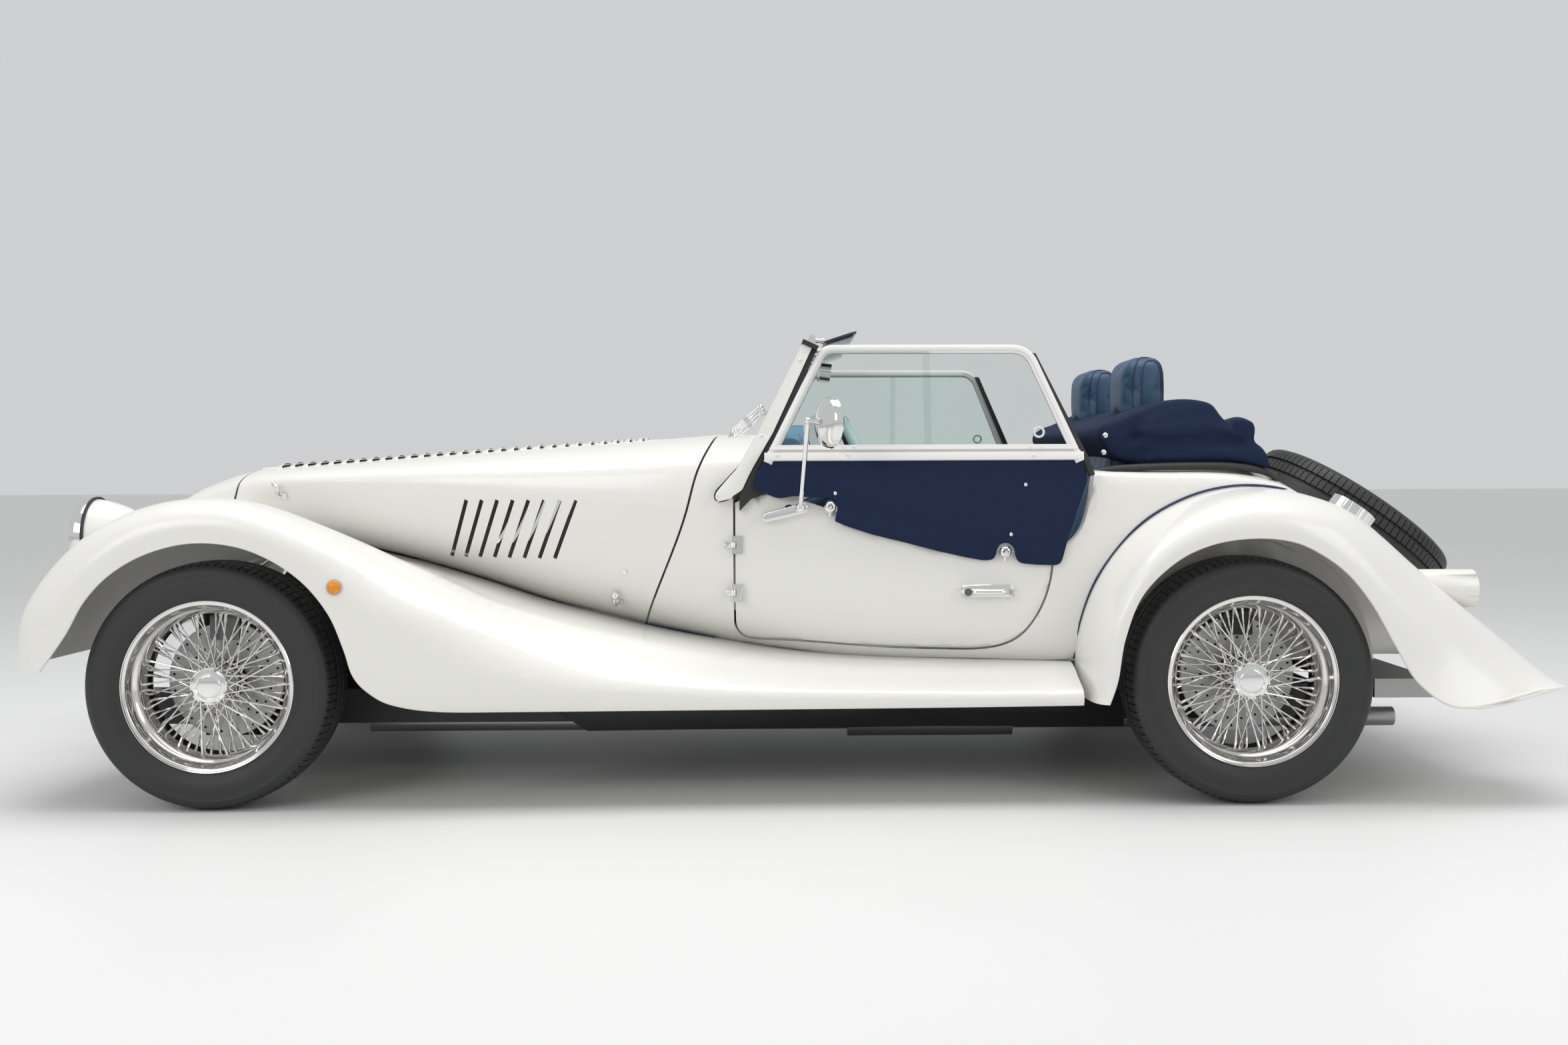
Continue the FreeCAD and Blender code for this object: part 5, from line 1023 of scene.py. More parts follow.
for side, word in sides:
    for name, near, far, material in (("foot", 0.0045, 0.0160, pearlTrim),
                                      ("gasket", -0.0040, 0.0030, blackRubber)):
        bm = bmesh.new()
        outline = softened(footShape[name], footShape["softness"])
        plateOf(bm, outline, near, far, footShape["bevel"])
        for v in bm.verts:
            out = footShape["turnOver"] - v.co.y if name == "foot" else v.co.y
            v.co.y = pillarFace(0, v.co.z, side, out - footShape["sink"]).y
        asPiece("pillar_" + name + "_" + word, bm, [material], "car", 40,
                outward=True)
    bm = bmesh.new()
    column = []
    for k in range(corner["steps"] + 1):
        z = corner["low"] + (corner["high"] - corner["low"]) * k / corner["steps"]
        found = onSide(["scuttle"], corner["probe"], z, side)
        if found:
            column.append(Vector((corner["x"], found[0].y, z)))
    verts = [bm.verts.new(p) for p in column]
    edges = [bm.edges.new(pair) for pair in zip(verts, verts[1:])]
    (footX, footZ), (topX, topZ) = corner["pillarFoot"], corner["pillarTop"]
    for v in vertsIn(bmesh.ops.extrude_edge_only(bm, edges=edges)["geom"]):
        share = (v.co.z - footZ) / (topZ - footZ)
        v.co.x = max(corner["x"] + 0.004, footX + (topX - footX) * share + corner["reach"])
    level = [e for e in bm.edges if abs(e.verts[0].co.x - e.verts[1].co.x) > 0.003
             and abs(e.verts[0].co.z - e.verts[1].co.z) < 1e-5]
    bmesh.ops.subdivide_edges(bm, edges=level, cuts=4, use_grid_fill=True)
    bmesh.ops.solidify(bm, geom=bm.faces[:], thickness=corner["wall"])
    asPiece("scuttle_corner_" + word, bm, [creamPaint], "car", 40, outward=True)

header = {
    "half": 0.572, "base": (0.0590, 1.1320), "crown": 0.010, "rows": 40,
    "section": [(-0.0088, 0.0), (-0.0088, 0.0165), (-0.0072, 0.0222), (-0.0035, 0.0258),
                (0.0012, 0.0264), (0.0056, 0.0240), (0.0084, 0.0190), (0.0090, 0.0120),
                (0.0090, 0.0)],
    "knobs": (-0.47, -0.09, 0.09, 0.47), "knobFoot": (0.0700, 1.1500), "knobEnd": (0.0960, 1.1480),
    "knobRadii": (0.0070, 0.0050, 0.0085), "padLow": (0.0640, 1.1380), "padHigh": (0.0760, 1.1560),
    "padHalf": 0.014,
}
bm = bmesh.new()
places = []
for k in range(header["rows"] + 1):
    y = -header["half"] + 2 * header["half"] * k / header["rows"]
    rise = header["crown"] * (1 - (y / header["half"]) ** 2)
    places.append(axesAt(Vector((header["base"][0], y, header["base"][1] + rise)), acrossPillar,
                         alongPillar, Vector((0, 1, 0))))
drawn(bm, header["section"], places)
for y in header["knobs"]:
    (footX, footZ), (endX, endZ) = header["knobFoot"], header["knobEnd"]
    footRadius, endRadius, ball = header["knobRadii"]
    addRod(bm, (footX, y, footZ), (endX, y, endZ), footRadius, 16, endRadius)
    addBall(bm, ball, Matrix.Translation((endX, y, endZ)))
    (lowX, lowZ), (highX, highZ) = header["padLow"], header["padHigh"]
    addBox(bm, (lowX, y - header["padHalf"], lowZ), (highX, y + header["padHalf"], highZ))
asPiece("windscreen_header", bm, [chrome], "car", 40)

visors = {"low": (0.0985, 1.1430), "high": (0.1830, 1.1700), "inner": 0.050, "outer": 0.500,
          "thick": 0.0055, "corner": 0.020, "bevel": 0.0018}
(lowX, lowZ), (highX, highZ) = visors["low"], visors["high"]
reach = math.hypot(highX - lowX, highZ - lowZ)
lean = math.atan2(highZ - lowZ, highX - lowX)
visorTurn = axesAt(Vector((lowX, 0, lowZ)), Vector((math.cos(lean), 0, math.sin(lean))),
                   Vector((-math.sin(lean), 0, math.cos(lean))), Vector((0, 1, 0)))
for side, word in sides:
    bm = bmesh.new()
    inner, outer = sorted((side * visors["inner"], side * visors["outer"]))
    outline = softened([(0, inner), (0, outer), (reach, outer), (reach, inner)], visors["corner"])
    plateOf(bm, outline, -visors["thick"] / 2, visors["thick"] / 2, visors["bevel"])
    bmesh.ops.transform(bm, matrix=visorTurn, verts=bm.verts)
    asPiece("sun_visor_" + word, bm, [visorNavy], "car", 40, outward=True)

# the mirror on the header's middle, facing the seats
cabinMirror = {
    "place": (0.1150, 0, 1.0910), "tilt": math.radians(8), "half": (0.0150, 0.0760, 0.0250),
    "corner": 0.013, "stem": ((0.0680, 0, 1.1480), (0.0930, 0, 1.1080), (0.1060, 0, 1.0950)),
    "stemRadii": (0.0045, 0.0065, 0.0050),
}
bm = bmesh.new()
half = Vector(cabinMirror["half"])
addBox(bm, -half, half)
rims = [e for e in bm.edges if abs((e.verts[0].co - e.verts[1].co).normalized().x) > 0.9]
bevelled(bm, rims, cabinMirror["corner"], 5)
fronts = [f for f in bm.faces if f.normal.x < -0.9]
bmesh.ops.inset_region(bm, faces=fronts, thickness=0.010, depth=0.006)
backs = [f for f in bm.faces if f.normal.x > 0.9]
bmesh.ops.inset_region(bm, faces=backs, thickness=0.0025, depth=-0.0015)
for face in backs:
    face.material_index = 1
bmesh.ops.transform(bm, matrix=Matrix.Translation(cabinMirror["place"])
                    @ Matrix.Rotation(cabinMirror["tilt"], 4, "Y"), verts=bm.verts)
top, middle, end = cabinMirror["stem"]
thin, thick, tip = cabinMirror["stemRadii"]
addRod(bm, top, middle, thin, 12)
addRod(bm, middle, end, thick, 12, tip)
asPiece("cabin_mirror", bm, [chrome, mirrorFace], "car", 40)

wipers = {"offsets": (-0.300, 0.0, 0.300), "footX": -0.1440, "elbow": (-0.0660, 0.9860),
          "tip": (-0.0440, 0.9640), "spread": 0.0035, "bladeHalf": 0.105, "bladeSteps": 12,
          "bow": 0.006, "joint": (0.007, 0.0045, 0.0065)}
bm = bmesh.new()
rubber = bmesh.new()
shares = [2 * k / wipers["bladeSteps"] - 1 for k in range(wipers["bladeSteps"] + 1)]
for offset in wipers["offsets"]:
    base = onTop(["scuttle", "cowl"], wipers["footX"], offset)[0]
    collar = base + Vector((0.002, 0, 0.010))
    addRod(bm, base - Vector((0, 0, 0.002)), collar, 0.012, 20, 0.009)
    addRod(bm, collar, base + Vector((0.003, 0, 0.017)), 0.0065, 16, 0.0060)
    shoulder = base + Vector((0.004, 0, 0.013))
    elbow = Vector((wipers["elbow"][0], offset + 0.020, wipers["elbow"][1]))
    middle = shoulder.lerp(elbow, 0.45)
    for lift in (-wipers["spread"], wipers["spread"]):
        shift = Vector((-lift * 0.7, 0, lift))
        addRod(bm, shoulder + shift, middle + shift * 1.3, 0.0028, 10, 0.0024)
        addRod(bm, middle + shift * 1.3, elbow + shift * 0.5, 0.0024, 10, 0.0018)
    half = Vector(wipers["joint"])
    addBox(bm, -half, half, framed(middle, elbow - shoulder))
    addBall(bm, 0.0055, Matrix.Translation(elbow), 14)
    tip = Vector((wipers["tip"][0], offset + 0.030, wipers["tip"][1]))
    addRod(bm, elbow, tip, 0.0026, 10, 0.0020)
    bow = [tip + Vector((-0.003 - wipers["bow"] * (1 - t * t), wipers["bladeHalf"] * t, 0.004 * t))
           for t in shares]
    tubeAlong(bm, bow, 0.0020, 8)
    tubeAlong(rubber, [p + Vector((0.004 + 0.004 * (1 - t * t), 0, -0.002))
                       for p, t in zip(bow, shares)], 0.0024, 6, flat=1.6)
asPiece("wiper_arms", bm, [chrome], "car", 40)
asPiece("wiper_blades", rubber, [blackRubber], "car", 40)
print("windscreen done")


# door fittings

doorMirror = {
    "base": ((-0.0510, 0.6960), (0.0404, 0.7195)), "baseOut": 0.611, "baseEnds": (0.0115, 0.0135),
    "baseDepth": (0.0125, 0.012), "baseBevel": 0.0045, "arm": (0.0330, 0.7205), "armOut": 0.016,
    "armRadius": 0.0058, "ballRadius": 0.0125, "elbow": (0.0508, 0.735, 0.9345),
    "elbowRadius": 0.0092, "head": (0.1040, 0.760, 0.9300), "radius": 0.0620, "depth": 0.026,
    "faces": (-0.90, 0.43),
    "lip": [(-0.0030, 0.0012), (-0.0055, -0.0005), (-0.0055, -0.0040), (-0.0035, -0.0048)],
}
doorHandle = {"out": 0.022, "z": 0.5085, "radius": 0.0075,
              "grip": [(0.4650, -0.003), (0.4700, 0.006), (0.5050, 0.010), (0.5380, 0.006),
                       (0.5430, -0.003)],
              "slot": (0.0011, 0.0006, 0.0045)}


def halfTurn(centre, along, up, radius, start, steps=12):
    return [centre + (along * math.cos(t) + up * math.sin(t)) * radius
            for t in [start + math.pi * k / steps for k in range(steps + 1)]]


def mirrorBowl():
    # the head's profile, from its back's middle to the rim that holds the glass
    profile = [(doorMirror["depth"], 0.0005)]
    for k in range(1, 13):
        turn = k / 12 * math.pi / 2
        profile.append((doorMirror["depth"] * math.cos(turn) ** 0.75,
                        doorMirror["radius"] * math.sin(turn)))
    return profile + [(a, doorMirror["radius"] + r) for a, r in doorMirror["lip"]]


def outTo(point, side):
    return Vector((point[0], side * point[1], point[2]))


for side, word in sides:
    bm = bmesh.new()
    out = doorMirror["baseOut"]
    low, high = [Vector((x, side * out, z)) for x, z in doorMirror["base"]]
    run = (high - low).normalized()
    lift = run.cross(Vector((0, side, 0))).normalized()
    lift = lift if lift.z > 0 else -lift
    outline = (halfTurn(low, run, lift, doorMirror["baseEnds"][0], math.pi / 2)
               + halfTurn(high, run, lift, doorMirror["baseEnds"][1], -math.pi / 2))
    under, over = doorMirror["baseDepth"]
    y0, y1 = sorted((side * (out - under), side * (out + over)))
    plateOf(bm, [(p.x, p.z) for p in outline], y0, y1, doorMirror["baseBevel"], 4)
    armX, armZ = doorMirror["arm"]
    root = Vector((armX, side * (out + doorMirror["armOut"]), armZ))
    elbow = outTo(doorMirror["elbow"], side)
    tubeAlong(bm, smoothPath([root, root.lerp(elbow, 0.12) + Vector((0, side * 0.012, 0)),
                              root.lerp(elbow, 0.6) + Vector((0, side * 0.006, 0)), elbow], 6),
              doorMirror["armRadius"], 14)
    flat = Matrix.Diagonal((1, 0.75, 1, 1))
    addBall(bm, doorMirror["ballRadius"], Matrix.Translation(root) @ flat, 20, 12)
    addBall(bm, doorMirror["elbowRadius"], Matrix.Translation(elbow), 20, 12)
    head = outTo(doorMirror["head"], side)
    back = outTo((*doorMirror["faces"], 0.0), side).normalized()
    apex = head + back * doorMirror["depth"]
    addRod(bm, elbow, elbow.lerp(apex, 0.72), 0.0062, 14, 0.0050)
    addRod(bm, elbow.lerp(apex, 0.60), apex - back * 0.002, 0.0072, 14, 0.0085)
    bowl = small(lambda made: turned(made, mirrorBowl(), 56))
    stamped(bm, bowl, framed(head, back) @ Matrix.Rotation(math.pi / 2, 4, "X"))
    glassRadius = doorMirror["radius"] - 0.0045
    paintFaces(bmesh.ops.create_cone(bm, cap_ends=True, segments=56, radius1=glassRadius,
                                     radius2=glassRadius, depth=0.002,
                                     matrix=framed(head - back * 0.0030, back))["verts"])
    bmesh.ops.remove_doubles(bm, verts=bm.verts, dist=0.00005)
    asPiece("door_mirror_" + word, bm, [chrome, mirrorFace], "door_" + word, 40,
            outward=True)

    bm = bmesh.new()
    face = handleFace[side] + doorHandle["out"]
    z = doorHandle["z"]
    grip = smoothPath([Vector((x, side * (face + out), z)) for x, out in doorHandle["grip"]], 6)
    tubeAlong(bm, grip, doorHandle["radius"], 14)
    x = handle["lock"]
    addRod(bm, (x, side * (face - 0.002), z), (x, side * (face + 0.0035), z), 0.0098, 28, 0.0088)
    before = set(bm.faces)
    addRod(bm, (handle["button"], side * (face - 0.002), z),
           (handle["button"], side * (face + 0.005), z), 0.0100, 28, 0.0088)
    # the key slot is a thin dark grey box on the lock's face: painted shade for the slot
    slot = Vector(doorHandle["slot"])
    middle = Vector((x, side * (face + 0.0035), z))
    addBox(bm, middle - slot, middle + slot)
    shaded(bm, 1, before)
    asPiece("door_handle_" + word, bm, [chrome, greyTrimAndShade], "door_" + word, 40)
print("door fittings done")


# side screens

# bars are (x from, x to, z from, z to, proud) and rearSeal is (corner of the ring, x, z)
sideScreen = {
    "ring": [(-0.0581, 0.8366), (0.0875, 1.1372), (0.6180, 1.1362), (0.7428, 0.8366)],
    "cornerRadii": (0.026, 0.040), "railHalf": 0.011,
    "rail": [(0.0110, -0.0060), (0.0110, 0.0045), (0.0094, 0.0078), (0.0060, 0.0095),
             (0.0010, 0.0098), (-0.0030, 0.0088), (-0.0048, 0.0060), (-0.0060, 0.0050),
             (-0.0100, 0.0046), (-0.0110, 0.0036), (-0.0110, -0.0040), (-0.0060, -0.0056),
             (-0.0040, -0.0088), (0.0070, -0.0088)],
    "bars": [(-0.0560, 0.7420, 0.8366, 0.8570, 0.0100), (-0.0480, 0.7350, 0.8570, 0.8625, 0.0055),
             (-0.0435, 0.7270, 0.8625, 0.8700, 0.0115), (-0.0400, 0.7240, 0.8700, 0.8765, 0.0085)],
    "rearSeal": [(2, 0.0005, -0.020), (2, 0.0145, -0.022), (3, 0.0155, 0), (3, 0.0265, -0.036),
                 (3, 0.0125, -0.040), (3, -0.0015, 0)],
    "paneEnds": (0.346, 0.362), "paneFoot": 0.8650, "pull": (0.633, 0.9092),
    "skirtFront": [(-0.0581, 0.8366), (-0.0848, 0.7846), (-0.0766, 0.7697), (-0.0435, 0.7513),
                   (-0.0187, 0.7430), (0.0185, 0.7503), (0.0475, 0.7468)],
    "notch": [(0.0881, 0.7450), (0.1010, 0.7470), (0.1200, 0.7400), (0.1260, 0.7220),
              (0.1230, 0.7000), (0.1185, 0.6860)],
    "skirtRear": [(0.1284, 0.6827), (0.1466, 0.6743), (0.2128, 0.6525), (0.2957, 0.6322),
                  (0.3786, 0.6102), (0.4450, 0.5950), (0.4906, 0.5865), (0.5130, 0.5880),
                  (0.5214, 0.5980), (0.5239, 0.6121), (0.5330, 0.6290), (0.5540, 0.6310),
                  (0.5680, 0.6180), (0.5712, 0.5930), (0.5819, 0.5794), (0.6276, 0.5750),
                  (0.6775, 0.5740), (0.6875, 0.5839), (0.7026, 0.6403), (0.7527, 0.7894),
                  (0.7428, 0.8366)],
    "knobs": [(0.1081, 0.7222), (0.5455, 0.6088)],
    "knobProfile": [(-0.0240, 0.0115), (-0.0080, 0.0115), (-0.0060, 0.0150), (0.0000, 0.0158),
                    (0.0060, 0.0142), (0.0100, 0.0100), (0.0108, 0.0072), (0.0160, 0.0066),
                    (0.0186, 0.0046), (0.0192, 0.0005)],
    "pullProfile": [(-0.0015, 0.0150), (0.0030, 0.0150), (0.0044, 0.0138), (0.0044, 0.0108),
                    (0.0030, 0.0096), (-0.0015, 0.0096)],
    "skirtScrews": [(0.1204, 0.7564), (0.5965, 0.7760), (0.5597, 0.6517)],
    "railScrews": [(0.1424, 0.8689), (0.1680, 0.8688), (0.6083, 0.8668), (0.6341, 0.8668)],
    "lowScrews": [(0.1531, 0.8489), (0.6166, 0.8465), (-0.0224, 0.8489)],
}


def leanedMesh(bm, side):
    # a mesh drawn upright in the side screen's plane is tilted in about its foot
    bmesh.ops.rotate(bm, cent=Vector((0, side * car["screenPlane"], car["screenFoot"])),
                     matrix=Matrix.Rotation(side * car["screenLean"], 3, "X"), verts=bm.verts)


def leanedIn(point, side):
    # place on the leaning side screen
    x, y, z = point
    pivot = Vector((0, side * car["screenPlane"], car["screenFoot"]))
    turn = Matrix.Rotation(side * car["screenLean"], 4, "X")
    about = Matrix.Translation(pivot) @ turn @ Matrix.Translation(-pivot)
    return about @ Vector((x, side * y, z))


for side, word in sides:
    door = "door_" + word
    plane = side * car["screenPlane"]
    bm = bmesh.new()
    middle = inset(sideScreen["ring"], sideScreen["railHalf"], closed=False)
    path = roundCorners([(x, plane, z) for x, z in middle], sideScreen["cornerRadii"], 8)
    railAlong(bm, sideScreen["rail"], path, side)
    for x0, x1, z0, z1, out in sideScreen["bars"]:
        ya, yb = sorted((plane - side * 0.0088, plane + side * out))
        bar = addBox(bm, (x0, ya, z0), (x1, yb, z1))
        bevelled(bm, list({e for v in bar for e in v.link_edges}), 0.0016, 2)
    before = set(bm.faces)
    ya, yb = sorted((plane - side * 0.016, plane + side * 0.002))
    outline = [(sideScreen["ring"][corner][0] + x, sideScreen["ring"][corner][1] + z)
               for corner, x, z in sideScreen["rearSeal"]]
    plateOf(bm, outline, ya, yb, 0.0015)
    shaded(bm, 1, before)
    leanedMesh(bm, side)
    for screws, out in (("railScrews", 0.0105), ("lowScrews", 0.0095)):
        for x, z in sideScreen[screws]:
            screw(bm, leanedIn((x, car["screenPlane"] + out, z), side), (0, side, 0), 0.0042, 2)
    ring = asPiece("side_frame_" + word, bm, [whiteFrame, blackRubber, chrome], door,
                   outward=True)
    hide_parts("side_screen_" + word)

    bm = bmesh.new()
    (ax, az), (bx, bz), (cx, cz), (dx, dz) = inset(sideScreen["ring"], 0.016)
    low = sideScreen["paneFoot"]
    frontX = ax + (bx - ax) * (low - az) / (bz - az)
    rearX = dx + (cx - dx) * (low - dz) / (cz - dz)
    frontEnd, rearEnd = sideScreen["paneEnds"]
    for outline, out in (([(frontX, low), (bx, bz), (rearEnd, bz), (rearEnd, low)], 0.0035),
                         ([(frontEnd, low), (frontEnd, cz), (cx, cz), (rearX, low)], -0.0035)):
        ya, yb = sorted((plane + side * (out - 0.0015), plane + side * (out + 0.0015)))
        plateOf(bm, outline, ya, yb)
    bm.normal_update()
    for face in bm.faces:
        if abs(face.normal.x) > 0.99:
            face.material_index = 1
    pull = small(lambda made: turned(made, sideScreen["pullProfile"], 40, closed=True))
    x, z = sideScreen["pull"]
    stamped(bm, pull, Matrix.Translation((x, plane + side * -0.002, z))
            @ Matrix.Diagonal((1, side, 1, 1)), 2)
    leanedMesh(bm, side)
    panes = asPiece("side_panes_" + word, bm, [screenGlass, paneEdge, clearRing], door,
                    30, outward=True)
    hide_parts("side_glass_" + word)

    bm = bmesh.new()
    ya, yb = sorted((plane - side * 0.0030, plane + side * 0.0030))
    outline = sideScreen["skirtFront"] + sideScreen["notch"] + sideScreen["skirtRear"]
    plateOf(bm, softened(outline, 0.012), ya, yb, 0.0018, 3)
    asPiece("side_skirt_" + word, bm, [navyCloth], door, 50)

    bm = bmesh.new()
    for x, z in sideScreen["skirtScrews"]:
        screw(bm, (x, plane + side * 0.0028, z), (0, side, 0), 0.0050)
    for x, z in sideScreen["knobs"]:
        knob = small(lambda made: turned(made, sideScreen["knobProfile"], 32))
        stamped(bm, knob, Matrix.Translation((x, plane, z)) @ Matrix.Diagonal((1, side, 1, 1)))
        y = plane + side * 0.001
        addRod(bm, (x - 0.001, y, z - 0.013), (x - 0.001, y, z - 0.024), 0.0048, 16, 0.0040)
    asPiece("skirt_knobs_" + word, bm, [chrome], door, 40, outward=True)
print("side screens done")


# cockpit

cockpit = {"rimAxis": (0.2195, -0.330, 0.785), "rimLean": math.radians(24), "rimRadius": 0.185,
           "rimSeams": 8, "seamRadius": 0.0143, "tickCount": 11, "tickFrom": -135, "tickStep": 27,
           "dials": [(-0.330, 0.052), (-0.190, 0.038), (-0.100, 0.026), (0.0, 0.026),
                     (0.100, 0.026), (0.190, 0.038)], "dialHeight": 0.760,
           "bezel": [(0.0, 0.004), (-0.005, 0.003), (-0.006, 0.0), (-0.003, -0.002),
                     (0.0, -0.002)]}
# the dashboard's faces above 0.842 m take the pale leather, and those below take the dark blue
# leather as painted shade under the padded top
dressed("dashboard", [blueLeather, paleLeather], "car", 40,
        lambda c: int(c.z > 0.842))
wheelAxis = Vector((math.cos(cockpit["rimLean"]), 0, math.sin(cockpit["rimLean"])))
wheelMiddle = Vector(cockpit["rimAxis"])


def wheelMark(centre):
    away = centre - wheelMiddle
    spread = (away - wheelAxis * away.dot(wheelAxis)).length
    if spread > cockpit["rimRadius"] - 0.017:
        return 0
    return 1 if spread > 0.045 else 2


dressed("steering_wheel", [rimLeather, brushedSteel, blackGrip], "steering_wheel",
        60, wheelMark)
bm = bmesh.new()
acrossWheel = Vector((0, 1, 0))
upWheel = wheelAxis.cross(acrossWheel)
for k in range(cockpit["rimSeams"]):
    turn = math.tau * (k + 0.5) / cockpit["rimSeams"]
    outward = acrossWheel * math.cos(turn) + upWheel * math.sin(turn)
    place = framed(wheelMiddle + outward * cockpit["rimRadius"], wheelAxis.cross(outward), outward)
    loop = [place @ (Vector((math.cos(t), math.sin(t), 0)) * cockpit["seamRadius"])
            for t in [math.tau * n / 24 for n in range(24)]]
    tubeAlong(bm, loop, 0.0006, 5, closed=True)
asPiece("rim_seams", bm, [greyTrimAndShade], "steering_wheel", 60)

bm = bmesh.new()
for y, radius in cockpit["dials"]:
    found = meets(["dashboard"], (0.6, y, cockpit["dialHeight"]), (-1, 0, 0))
    if not found:
        continue
    at = framed(found[0] - found[1] * 0.001, found[1], (0, 1, 0))
    profile = [(a, radius + r) for a, r in cockpit["bezel"]]
    bezel = small(lambda made: turned(made, profile, 48, closed=True))
    toDial = at @ Matrix.Rotation(math.pi / 2, 4, "X")
    stamped(bm, bezel, toDial)
    place = at @ Matrix.Translation((0, 0, 0.0015))
    paintFaces(bmesh.ops.create_cone(bm, cap_ends=True, segments=48, radius1=radius,
                                     radius2=radius, depth=0.003, matrix=place)["verts"])
    before = set(bm.faces)
    for k in range(cockpit["tickCount"]):
        turn = math.radians(cockpit["tickFrom"] + cockpit["tickStep"] * k)
        tick = at @ Matrix.Rotation(turn, 4, "Z")
        addBox(bm, (-0.0005, radius * 0.78, 0.0030), (0.0005, radius * 0.92, 0.0034), tick)
    addBox(bm, (-0.0006, -radius * 0.15, 0.0036), (0.0006, radius * 0.70, 0.0042),
           at @ Matrix.Rotation(math.radians(110), 4, "Z"))
    shaded(bm, 2, before)
asPiece("dials", bm, [chrome, gaugeFace, printAndShadeBlack], "car", 40, outward=True)
# the padded hood over the dials
binnacle = {"middle": (0.0060, 0.8560), "from": -0.475, "to": -0.185, "steps": 28,
            "section": [(-0.0340, 0.0), (-0.0300, 0.0240), (-0.0185, 0.0490), (-0.0060, 0.0690),
                        (0.0040, 0.0735), (0.0150, 0.0710), (0.0245, 0.0620), (0.0300, 0.0480),
                        (0.0340, 0.0240), (0.0360, 0.0)]}
bm = bmesh.new()
rows = []
for k in range(binnacle["steps"] + 1):
    share = k / binnacle["steps"]
    y = binnacle["from"] + (binnacle["to"] - binnacle["from"]) * share
    rise = max(0.30, (1 - abs(2 * share - 1) ** 5)) ** 0.5
    rows.append((y, rise))
foot = binnacle["middle"][1]
edges = ringOf(bm, [(binnacle["middle"][0] + p.x, rows[0][0], foot + p.z * rows[0][1]) for p in
                    smoothPath([Vector((u, 0, v)) for u, v in binnacle["section"]], 4)])[1]
bmesh.ops.edgeloop_fill(bm, edges=edges)
for (y0, rise0), (y1, rise1) in zip(rows, rows[1:]):
    made = bmesh.ops.extrude_edge_only(bm, edges=edges)["geom"]
    held = set(vertsIn(made))
    edges = [g for g in made if isinstance(g, bmesh.types.BMEdge) and held.issuperset(g.verts)]
    for v in held:
        v.co.y = y1
        v.co.z = foot + (v.co.z - foot) / rise0 * rise1
bmesh.ops.edgeloop_fill(bm, edges=edges)
asPiece("dial_hood", bm, [paleLeather], "car", 50, outward=True)
print("dashboard done")


# soft goods: blown up as cloth from inside, each point held within a cap

def settled(piece):
    # the piece's shape with its modifiers becomes its own mesh
    graph = bpy.context.evaluated_depsgraph_get()
    mesh = bpy.data.meshes.new_from_object(piece.evaluated_get(graph))
    piece.modifiers.clear()
    piece.data = mesh
    return mesh


def puffed(bm, voxel, pressure, cap):
    mesh = bpy.data.meshes.new("pad")
    bm.to_mesh(mesh)
    bm.free()
    pad = bpy.data.objects.new("pad", mesh)
    scene.collection.objects.link(pad)
    remesh = pad.modifiers.new("evenMesh", "REMESH")
    remesh.mode = "VOXEL"
    remesh.voxel_size = voxel
    mesh = settled(pad)
    start = [v.co.copy() for v in mesh.vertices]
    cloth = pad.modifiers.new("cloth", "CLOTH")
    cloth.settings.use_pressure = True
    cloth.settings.uniform_pressure_force = pressure
    cloth.settings.effector_weights.gravity = 0
    cloth.settings.quality = 4
    cloth.settings.mass = 0.25
    for frameNumber in range(1, 21):
        scene.frame_set(frameNumber)
    mesh = settled(pad)
    scene.frame_set(1)
    for v, before in zip(mesh.vertices, start):
        move = v.co - before
        if move.length > 1e-7:
            v.co = before + move.normalized() * cap * math.tanh(move.length / cap)
    result = bmesh.new()
    result.from_mesh(mesh)
    bpy.data.objects.remove(pad)
    bmesh.ops.smooth_vert(result, verts=result.verts, factor=0.5, use_axis_x=True, use_axis_y=True,
                          use_axis_z=True)
    bmesh.ops.recalc_face_normals(result, faces=result.faces)
    return result


def softBlock(low, high, matrix, corner):
    # block with rounded edges
    bm = bmesh.new()
    addBox(bm, low, high)
    bevelled(bm, bm.edges[:], corner, 4)
    bmesh.ops.transform(bm, matrix=matrix, verts=bm.verts)
    return bm


def padPiece(name, bm, materials, body):
    piece = asPiece(name, bm, materials, body, 60, weld=False)
    extra = piece.modifiers.new("smoother", "SUBSURF")
    extra.levels = 1
    extra.render_levels = 1
    return piece


def landed(tree, points, direction, lift):
    path = []
    for point in points:
        place, normal, index, distance = tree.ray_cast(Vector(point), Vector(direction))
        if place is not None:
            path.append(place + normal * lift)
    return path


def stadium(centreX, centreZ, halfX, halfZ, steps=24):
    # upright rounded loop as (x, z)
    loop = []
    for k in range(steps * 2):
        turn = math.tau * k / (steps * 2)
        c, n = math.cos(turn), math.sin(turn)
        loop.append((centreX + halfX * math.copysign(abs(c) ** 0.62, c),
                     centreZ + halfZ * math.copysign(abs(n) ** 0.80, n)))
    return loop


# ovals of piping are (centre, centre, half, half) in the pad's own face
seatSizes = {"rear": 0.7843, "floor": 0.2401, "half": 0.192, "lean": math.radians(16),
             "cushion": ((0.318, 0.262), (0.690, 0.378)), "backWall": (0.100, 0.012),
             "backHeight": (0.120, 0.738), "rest": ((0.8990, 0.9300), (1.0040, 1.1080)),
             "restHalf": 0.116, "restPiping": ((0.9660, 1.0170, 0.0285, 0.0820),
                                               (0.9580, 1.0185, 0.0420, 0.0900)),
             "pipingRadii": (0.0026, 0.0028), "backOval": (0, 0.43, 0.275),
             "cushionOval": (0.497, 0, 0.165), "pipingInset": 0.020, "seamRadius": 0.0016,
             "seamsAt": (-0.080, 0.0, 0.080), "cushionSeam": (0.36, 0.28), "backSeam": (0.19, 0.48)}
seatMeshes = {}
(x0, z0), (x1, z1) = seatSizes["cushion"]
